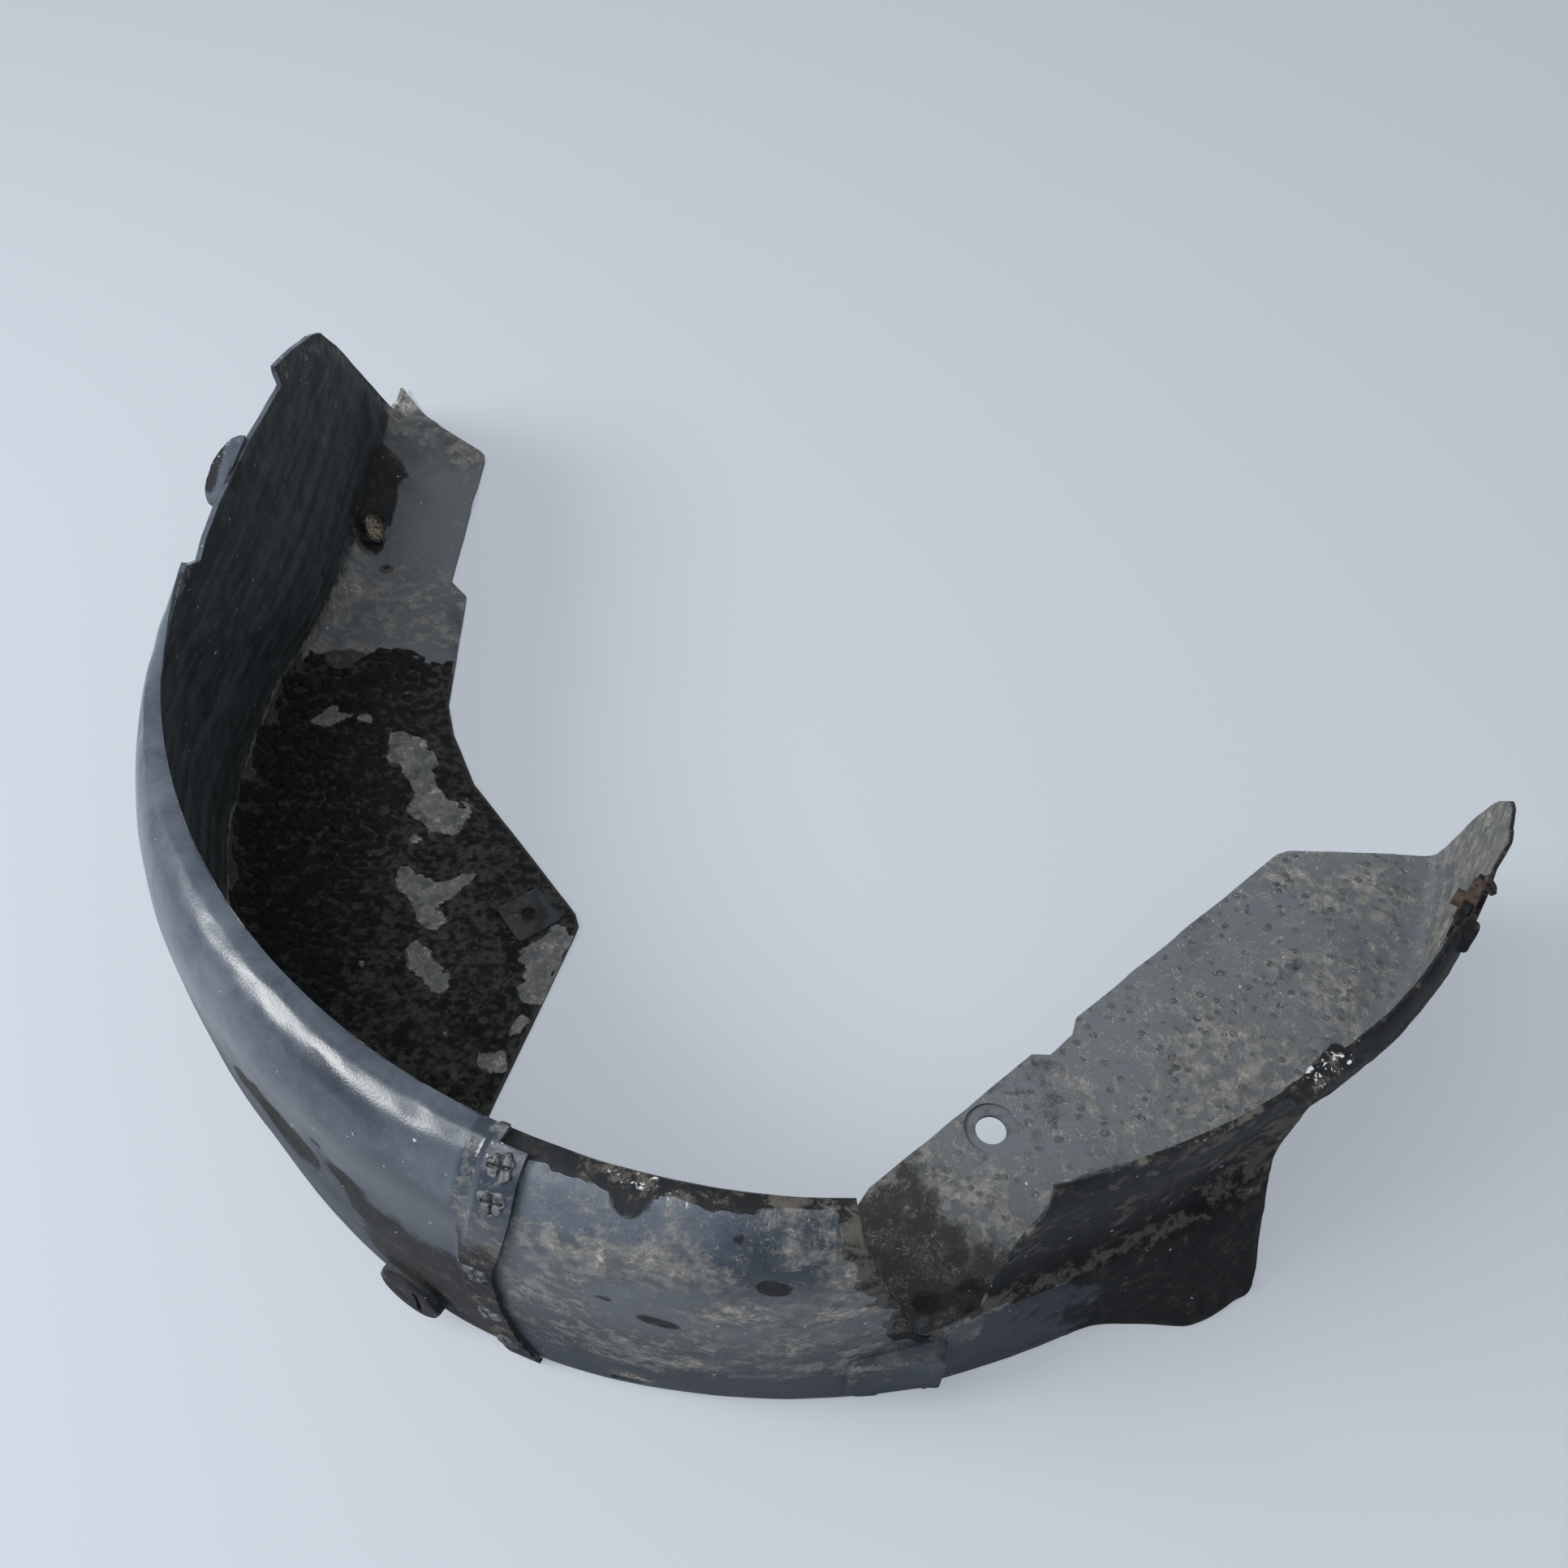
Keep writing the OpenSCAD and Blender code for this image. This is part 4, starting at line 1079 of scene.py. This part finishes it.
def plastic_material(name, seed, index):
    """Old black moulding plastic under haze with a painted sheen, dust, dark grime with painted shade, mud stains and
    painted glints; index sets its gloss.
    """
    t = Tree(name)
    at = t.node("Mapping", Vector=t.place(), Location=(seed * 1.7, seed * 0.9, seed * 0.4)).outputs[0]
    strand = t.scaled(t.attribute("strand", True), 0.09, 1, 1)
    outer, dust, haze_and_sheen, grime_and_shade, mud, pale, painted_glint, curl, matte = [t.attribute(mask) for mask in MASKS]

    broad = t.noise(at, 14, 5, 0.6)
    fine = t.noise(at, 320, 4, 0.7)
    patchy = t.noise(at, 46, 10, 0.74, 0.4)
    crisp = t.noise(at, 110, 9, 0.75, 0.3)
    grain = t.noise(at, 900, 2, 0.5)
    streak = t.plus(t.times(t.noise(strand, 95, 7, 0.72), 0.55), t.times(patchy, 0.45))
    streak = t.between(streak, 0.4, 0.62)

    inside = t.blend(streak, tone(9, 14, 16), tone(50, 57, 58))
    outside = t.blend(broad, tone(24, 30, 38), tone(46, 55, 66))
    colour = t.blend(outer, inside, outside)

    # Pale film: real haze in places, and a painted sheen where its mask is raised toward the outside's shoulder and
    # beside the seam.
    film_and_sheen = t.between(t.plus(t.times(patchy, 0.9), haze_and_sheen), 0.72, 1.3)
    colour = t.lay(colour, film_and_sheen, 0.82, t.blend(outer, tone(92, 98, 103), tone(78, 86, 96)))

    speckle = t.plus(t.times(patchy, 0.55), t.times(crisp, 0.45))
    cover = t.between(t.plus(speckle, t.times(dust, 0.42)), 0.62, 0.76)
    thick = t.between(t.plus(speckle, t.times(dust, 0.26)), 0.66, 0.76)
    earth = t.blend(t.between(crisp, 0.38, 0.62), tone(80, 82, 83), tone(128, 127, 123))
    colour = t.lay(colour, cover, 0.74, earth)
    colour = t.lay(colour, thick, 0.75,
                   t.blend(t.between(fine, 0.4, 0.6), tone(108, 106, 102), tone(172, 168, 160)))

    drops = t.between(t.cells(t.scaled(at, 1, 1.25, 1), 115), 0.26, 0.36, 1.0, 0.0)
    drops = t.times(drops, t.between(crisp, 0.44, 0.52))
    colour = t.lay(colour, t.times(drops, curl), 0.75, tone(40, 46, 54))
    bend = t.math("ABSOLUTE", t.math("SUBTRACT", t.noise(at, 210, 3, 0.5, 1.8), 0.5))
    curls = t.times(t.between(bend, 0.01, 0.03, 1.0, 0.0), t.between(crisp, 0.44, 0.54))
    curls = t.times(curls, curl)
    colour = t.lay(colour, curls, 0.8, tone(160, 156, 148))

    # Dark stain: real grime and smudges, and painted shade where its mask marks recesses, creases and faces turned
    # from the light.
    blot = t.plus(t.times(patchy, 0.45), t.times(crisp, 0.35))
    stain_and_shade = t.between(t.plus(blot, grime_and_shade), 0.86, 0.98)
    colour = t.lay(colour, stain_and_shade, 0.92,
                   t.blend(t.between(crisp, 0.45, 0.62), tone(6, 8, 10), tone(34, 32, 30)))
    ashes = t.times(stain_and_shade, t.between(t.plus(crisp, t.times(dust, 0.3)), 0.6, 0.7))
    colour = t.lay(colour, ashes, 0.7, tone(92, 88, 82))
    soil = t.between(t.plus(patchy, t.times(mud, 0.6)), 0.62, 0.8)
    soil = t.times(soil, t.math("SUBTRACT", 1.0, t.times(curls, 0.7)))
    colour = t.lay(colour, soil, 0.8, t.blend(fine, tone(12, 14, 16), tone(38, 36, 33)))

    # White flakes where the glint mask is are painted glints, joined by rare pale specks everywhere.
    flakes = t.between(t.noise(at, 240, 5, 0.7, 0.6), 0.58, 0.6)
    painted_glints = t.times(flakes, t.between(painted_glint, 0.35, 0.6))
    rare = t.times(t.between(t.noise(at, 260, 2, 0.5), 0.74, 0.77), 0.55)
    colour = t.blend(t.larger(painted_glints, rare), colour, tone(196, 200, 204))
    clay = t.blend(t.between(t.noise(at, 420, 4, 0.7), 0.38, 0.6), tone(52, 44, 38), tone(172, 160, 143))
    colour = t.blend(pale, colour, clay)

    dull = t.larger(t.times(cover, 0.8), t.times(film_and_sheen, 0.12))
    dull = t.larger(dull, t.larger(pale, t.larger(t.times(soil, 0.8), stain_and_shade)))
    rough = t.plus(t.times(dull, 0.45), t.times(t.noise(at, 34, 5, 0.65), 0.2))
    rough = t.plus(rough, t.between(outer, 0.0, 1.0, 0.32, 0.15))
    rough = t.math("MINIMUM", t.plus(rough, t.times(matte, 0.4)), 0.9)
    height = t.plus(t.times(cover, 0.5), t.times(grain, 0.15))
    height = t.plus(height, t.times(t.plus(thick, curls), 0.9))
    height = t.plus(height, t.times(t.times(stain_and_shade, crisp), 1.6))
    return t.finish(colour, rough, t.bump(height, 0.7, 0.0009), IOR=index)


def mud_material():
    """Near-black dried mud, crumbly, with dusty crests that carry a painted highlight, and bluish thin places."""
    t = Tree("dried_mud")
    at = t.place()
    depth = t.attribute("depth")
    fine = t.noise(at, 420, 5, 0.7)
    broad = t.noise(at, 24, 5, 0.65)
    ridge = t.noise(at, 190, 6, 0.68, 0.5)
    lumps = t.noise(at, 105, 6, 0.66, 0.9)
    colour = t.blend(t.between(broad, 0.4, 0.6), tone(2, 3, 3), tone(12, 18, 22))
    colour = t.blend(t.between(depth, 0.6, 1.5), colour, tone(8, 8, 7))
    colour = t.lay(colour, t.between(lumps, 0.52, 0.66), 0.25, tone(24, 23, 22))
    # Lighter crests: dusty crumbs with a painted highlight on the bumped ridges.
    colour = t.lay(colour, t.between(ridge, 0.6, 0.67), 0.55, tone(58, 54, 48))
    colour = t.lay(colour, t.between(fine, 0.62, 0.72), 0.55, tone(96, 87, 75))
    thin = t.times(t.between(depth, 0.0, 0.5, 1.0, 0.0), t.between(ridge, 0.36, 0.56))
    colour = t.lay(colour, thin, 0.55, tone(84, 83, 80))
    rough = t.between(ridge, 0.3, 0.7, 0.42, 0.8)
    height = t.plus(t.times(fine, 0.7), t.times(ridge, 1.6))
    height = t.plus(height, t.times(lumps, 2.2))
    return t.finish(colour, rough, t.bump(height, 1.0, 0.0024), IOR=1.4)


def weld_material():
    """Melted plastic with dirt pressed into its pits."""
    t = Tree("melted_plastic")
    at = t.place()
    fine = t.noise(at, 500, 4, 0.65)
    broad = t.noise(at, 120, 5, 0.65)
    colour = t.blend(t.between(broad, 0.42, 0.6), tone(34, 38, 42), tone(78, 82, 88))
    colour = t.lay(colour, t.between(fine, 0.54, 0.66), 0.6, tone(118, 114, 108))
    colour = t.blend(t.between(t.attribute("pit"), 0.35, 0.75), colour, tone(9, 9, 10))
    rough = t.between(fine, 0.3, 0.7, 0.35, 0.75)
    return t.finish(colour, rough, t.bump(fine, 0.6, 0.0006), IOR=1.45)


def rust_material():
    """Rusted spring steel with darker scale and a few worn bright spots."""
    t = Tree("rusted_spring_steel")
    at = t.place()
    broad = t.noise(at, 160, 5, 0.65)
    fine = t.noise(at, 900, 4, 0.7)
    colour = t.blend(t.between(broad, 0.35, 0.65), tone(26, 22, 20), tone(70, 55, 43))
    colour = t.lay(colour, t.between(fine, 0.55, 0.7), 0.5, tone(120, 98, 76))
    colour = t.blend(t.between(broad, 0.6, 0.68), colour, tone(24, 21, 20))
    rough = t.between(fine, 0.3, 0.7, 0.6, 0.95)
    return t.finish(colour, rough, t.bump(fine, 0.7, 0.0004), IOR=1.5, Metallic=0.2)


# Stage: metres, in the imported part's frame
FLOOR_HALF, FLOOR_CELLS, FLOOR_DROP = 6.0, 8, 0.0004
GLOW_SEEN, GLOW_MIRRORED = 0.6, 0.4
KEY_LAMP = ((-1.72, -0.66, 1.5), (0, -0.05, 0.1), (1.15, 0.7), (1.0, 0.99, 0.97))
TOP_LAMP = ((-0.7, -0.7, 2.1), (0, -0.1, 0), (0.8, 0.8), (0.97, 0.99, 1.0))
SKY, HORIZON_SHARE = (0.93, 0.96, 1.0, 1), 0.32
ELEVATION, ROLL, DISTANCE, TARGET = 51.0, 3.3, 1.070, (-22, 31, 0)


def stage_material():
    """Plain pale floor, partly glowing for the camera and for reflections and partly lit, so it keeps a shadow."""
    t = Tree("pale_floor")
    soft = t.noise(t.place(), 1.5, 2, 0.4)
    colour = t.blend(soft, tone(184, 191, 200), tone(186, 193, 202))
    mat = t.finish(colour, 0.95, None, IOR=1.2)
    glow = t.node("Emission", Color=colour)
    path = t.node("LightPath")
    seen = t.larger(path.outputs["Is Glossy Ray"], path.outputs["Is Transmission Ray"])
    seen = t.times(seen, GLOW_MIRRORED)
    seen = t.larger(seen, t.times(path.outputs["Is Camera Ray"], GLOW_SEEN))
    blend = t.node("MixShader", Fac=seen)
    t.links.new(t.shader.outputs[0], blend.inputs[1])
    t.links.new(glow.outputs[0], blend.inputs[2])
    t.links.new(blend.outputs[0], t.surface)
    return mat


def dress(obj, material):
    """Gives a piece its material and slot and hangs it on the only body."""
    obj.data.materials.clear()
    obj.data.materials.append(material)
    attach(obj, "root")


class ARCHLINER_PG_settings(bpy.types.PropertyGroup):
    detail: FloatProperty(name="Detail", description="Mesh density of the mouldings and the mud", default=1.0,
                          min=0.2, max=1.3)
    key_power: FloatProperty(name="Key light", description="Power of the soft light on the long leg's side, in watts",
                             default=60.0, min=0.0, max=200.0)
    top_power: FloatProperty(name="Top light", description="Power of the soft light overhead, in watts",
                             default=14.0, min=0.0, max=200.0)
    ambient: FloatProperty(name="Ambient", description="Strength of the world's light overhead", default=0.85,
                           min=0.0, max=2.0)
    lens: FloatProperty(name="Lens", description="Focal length of the camera on a 36 mm sensor", default=36.06,
                        min=20.0, max=100.0)


def detail():
    return bpy.context.scene.arch_liner.detail * 1.0


class ARCHLINER_OT_long(bpy.types.Operator):
    """Builds the long-leg moulding in place of its CAD node"""
    bl_idname = "archliner.long_moulding"
    bl_label = "Long-leg moulding"

    def execute(self, context):
        obj = build_long(detail())
        paint_long(obj)
        smooth(obj)
        dress(obj, plastic_material("satin_black_plastic", 0, LONG_INDEX))
        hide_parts("long_leg_moulding")
        return {"FINISHED"}


class ARCHLINER_OT_short(bpy.types.Operator):
    """Builds the short-leg moulding in place of its CAD node"""
    bl_idname = "archliner.short_moulding"
    bl_label = "Short-leg moulding"

    def execute(self, context):
        obj = build_short(detail())
        paint_short(obj)
        smooth(obj)
        dress(obj, plastic_material("dusty_black_plastic", 1, SHORT_INDEX))
        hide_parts("short_leg_moulding")
        return {"FINISHED"}


class ARCHLINER_OT_mud(bpy.types.Operator):
    """Lays the dried mud on the long leg's panel"""
    bl_idname = "archliner.mud"
    bl_label = "Dried mud"

    def execute(self, context):
        obj = build_mud(detail())
        smooth(obj, 60)
        dress(obj, mud_material())
        return {"FINISHED"}


class ARCHLINER_OT_welds(bpy.types.Operator):
    """Adds the melted weld spots on the lap strip"""
    bl_idname = "archliner.welds"
    bl_label = "Weld spots"

    def execute(self, context):
        obj = build_welds()
        smooth(obj, 60)
        dress(obj, weld_material())
        return {"FINISHED"}


class ARCHLINER_OT_clip(bpy.types.Operator):
    """Gives the clip nut its rusted steel"""
    bl_idname = "archliner.clip"
    bl_label = "Clip nut"

    def execute(self, context):
        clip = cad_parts["rim_clip_nut"]
        rust = rust_material()
        if not clip.material_slots:
            clip.data.materials.append(rust)
        for slot in clip.material_slots:
            slot.material = rust
        return {"FINISHED"}


class ARCHLINER_OT_studio(bpy.types.Operator):
    """Sets the floor, the soft lights, the world and the camera"""
    bl_idname = "archliner.studio"
    bl_label = "Studio"

    def execute(self, context):
        settings = context.scene.arch_liner
        steps = np.linspace(-FLOOR_HALF, FLOOR_HALF, FLOOR_CELLS + 1)
        pts = [(x, y, 0.0) for x in steps for y in steps]
        row = FLOOR_CELLS + 1
        faces = [(i * row + j, i * row + row + j, i * row + row + 1 + j, i * row + j + 1)
                 for i in range(FLOOR_CELLS) for j in range(FLOOR_CELLS)]
        mesh = bpy.data.meshes.new("floor")
        mesh.from_pydata(pts, [], faces)
        floor = bpy.data.objects.new("floor", mesh)
        context.scene.collection.objects.link(floor)
        floor.location.z = -FLOOR_DROP
        mesh.materials.append(stage_material())
        lamp("key", settings.key_power, *KEY_LAMP)
        lamp("top", settings.top_power, *TOP_LAMP)
        world = context.scene.world or bpy.data.worlds.new("World")
        context.scene.world = world
        world.use_nodes = True
        tree = world.node_tree
        tree.nodes.clear()
        out = tree.nodes.new("ShaderNodeOutputWorld")
        back = tree.nodes.new("ShaderNodeBackground")
        back.inputs["Color"].default_value = SKY
        where = tree.nodes.new("ShaderNodeTexCoord")
        split = tree.nodes.new("ShaderNodeSeparateXYZ")
        height = tree.nodes.new("ShaderNodeMapRange")
        height.inputs["To Min"].default_value = HORIZON_SHARE * settings.ambient
        height.inputs["To Max"].default_value = settings.ambient
        tree.links.new(where.outputs["Generated"], split.inputs[0])
        tree.links.new(split.outputs["Z"], height.inputs["Value"])
        tree.links.new(height.outputs[0], back.inputs["Strength"])
        tree.links.new(back.outputs[0], out.inputs["Surface"])
        context.scene.view_settings.view_transform = "Standard"
        aim_camera(context.scene, settings.lens)
        return {"FINISHED"}


def lamp(name, power, spot, aim, size, colour):
    """Soft rectangular light at a spot, turned to its aim."""
    data = bpy.data.lights.new(name, "AREA")
    data.shape = "RECTANGLE"
    data.size, data.size_y = size
    data.energy = power
    data.color = colour
    obj = bpy.data.objects.new(name, data)
    bpy.context.scene.collection.objects.link(obj)
    obj.location = spot
    obj.rotation_euler = (Vector(aim) - Vector(spot)).to_track_quat("-Z", "Y").to_euler()
    return obj


def aim_camera(scene, lens):
    """Camera fitted to the photograph by its elevation, roll, distance and target."""
    elevation, roll = math.radians(ELEVATION), math.radians(ROLL)
    target = Vector(to_frame(TARGET).tolist())
    back = Vector((0, -math.cos(elevation), math.sin(elevation)))
    side = Vector((1, 0, 0))
    up = back.cross(side)
    right = side * math.cos(roll) + up * math.sin(roll)
    top = up * math.cos(roll) - side * math.sin(roll)
    data = bpy.data.cameras.new("camera")
    data.lens, data.sensor_width = lens, 36.0
    data.clip_start, data.clip_end = 0.05, 50
    cam = bpy.data.objects.new("camera", data)
    scene.collection.objects.link(cam)
    turn = Matrix((right, top, back)).transposed().to_4x4()
    cam.matrix_world = Matrix.Translation(target + back * DISTANCE) @ turn
    scene.camera = cam


class ARCHLINER_PT_panel(bpy.types.Panel):
    bl_idname = "ARCHLINER_PT_panel"
    bl_label = "Arch liner"
    bl_space_type = "VIEW_3D"
    bl_region_type = "UI"
    bl_category = "Arch Liner"

    def draw(self, context):
        settings = context.scene.arch_liner
        for name in ("detail", "key_power", "top_power", "ambient", "lens"):
            self.layout.prop(settings, name)
        for step in STEPS:
            self.layout.operator(step.bl_idname)


STEPS = (ARCHLINER_OT_long, ARCHLINER_OT_short, ARCHLINER_OT_mud, ARCHLINER_OT_welds, ARCHLINER_OT_clip,
         ARCHLINER_OT_studio)
CLASSES = (ARCHLINER_PG_settings,) + STEPS + (ARCHLINER_PT_panel,)


def register():
    for cls in CLASSES:
        bpy.utils.register_class(cls)
    bpy.types.Scene.arch_liner = PointerProperty(type=ARCHLINER_PG_settings)


def unregister():
    del bpy.types.Scene.arch_liner
    for cls in reversed(CLASSES):
        bpy.utils.unregister_class(cls)


def main():
    register()
    bpy.ops.archliner.long_moulding()
    bpy.ops.archliner.short_moulding()
    bpy.ops.archliner.mud()
    bpy.ops.archliner.welds()
    bpy.ops.archliner.clip()
    bpy.ops.archliner.studio()


if __name__ == "__main__":
    main()
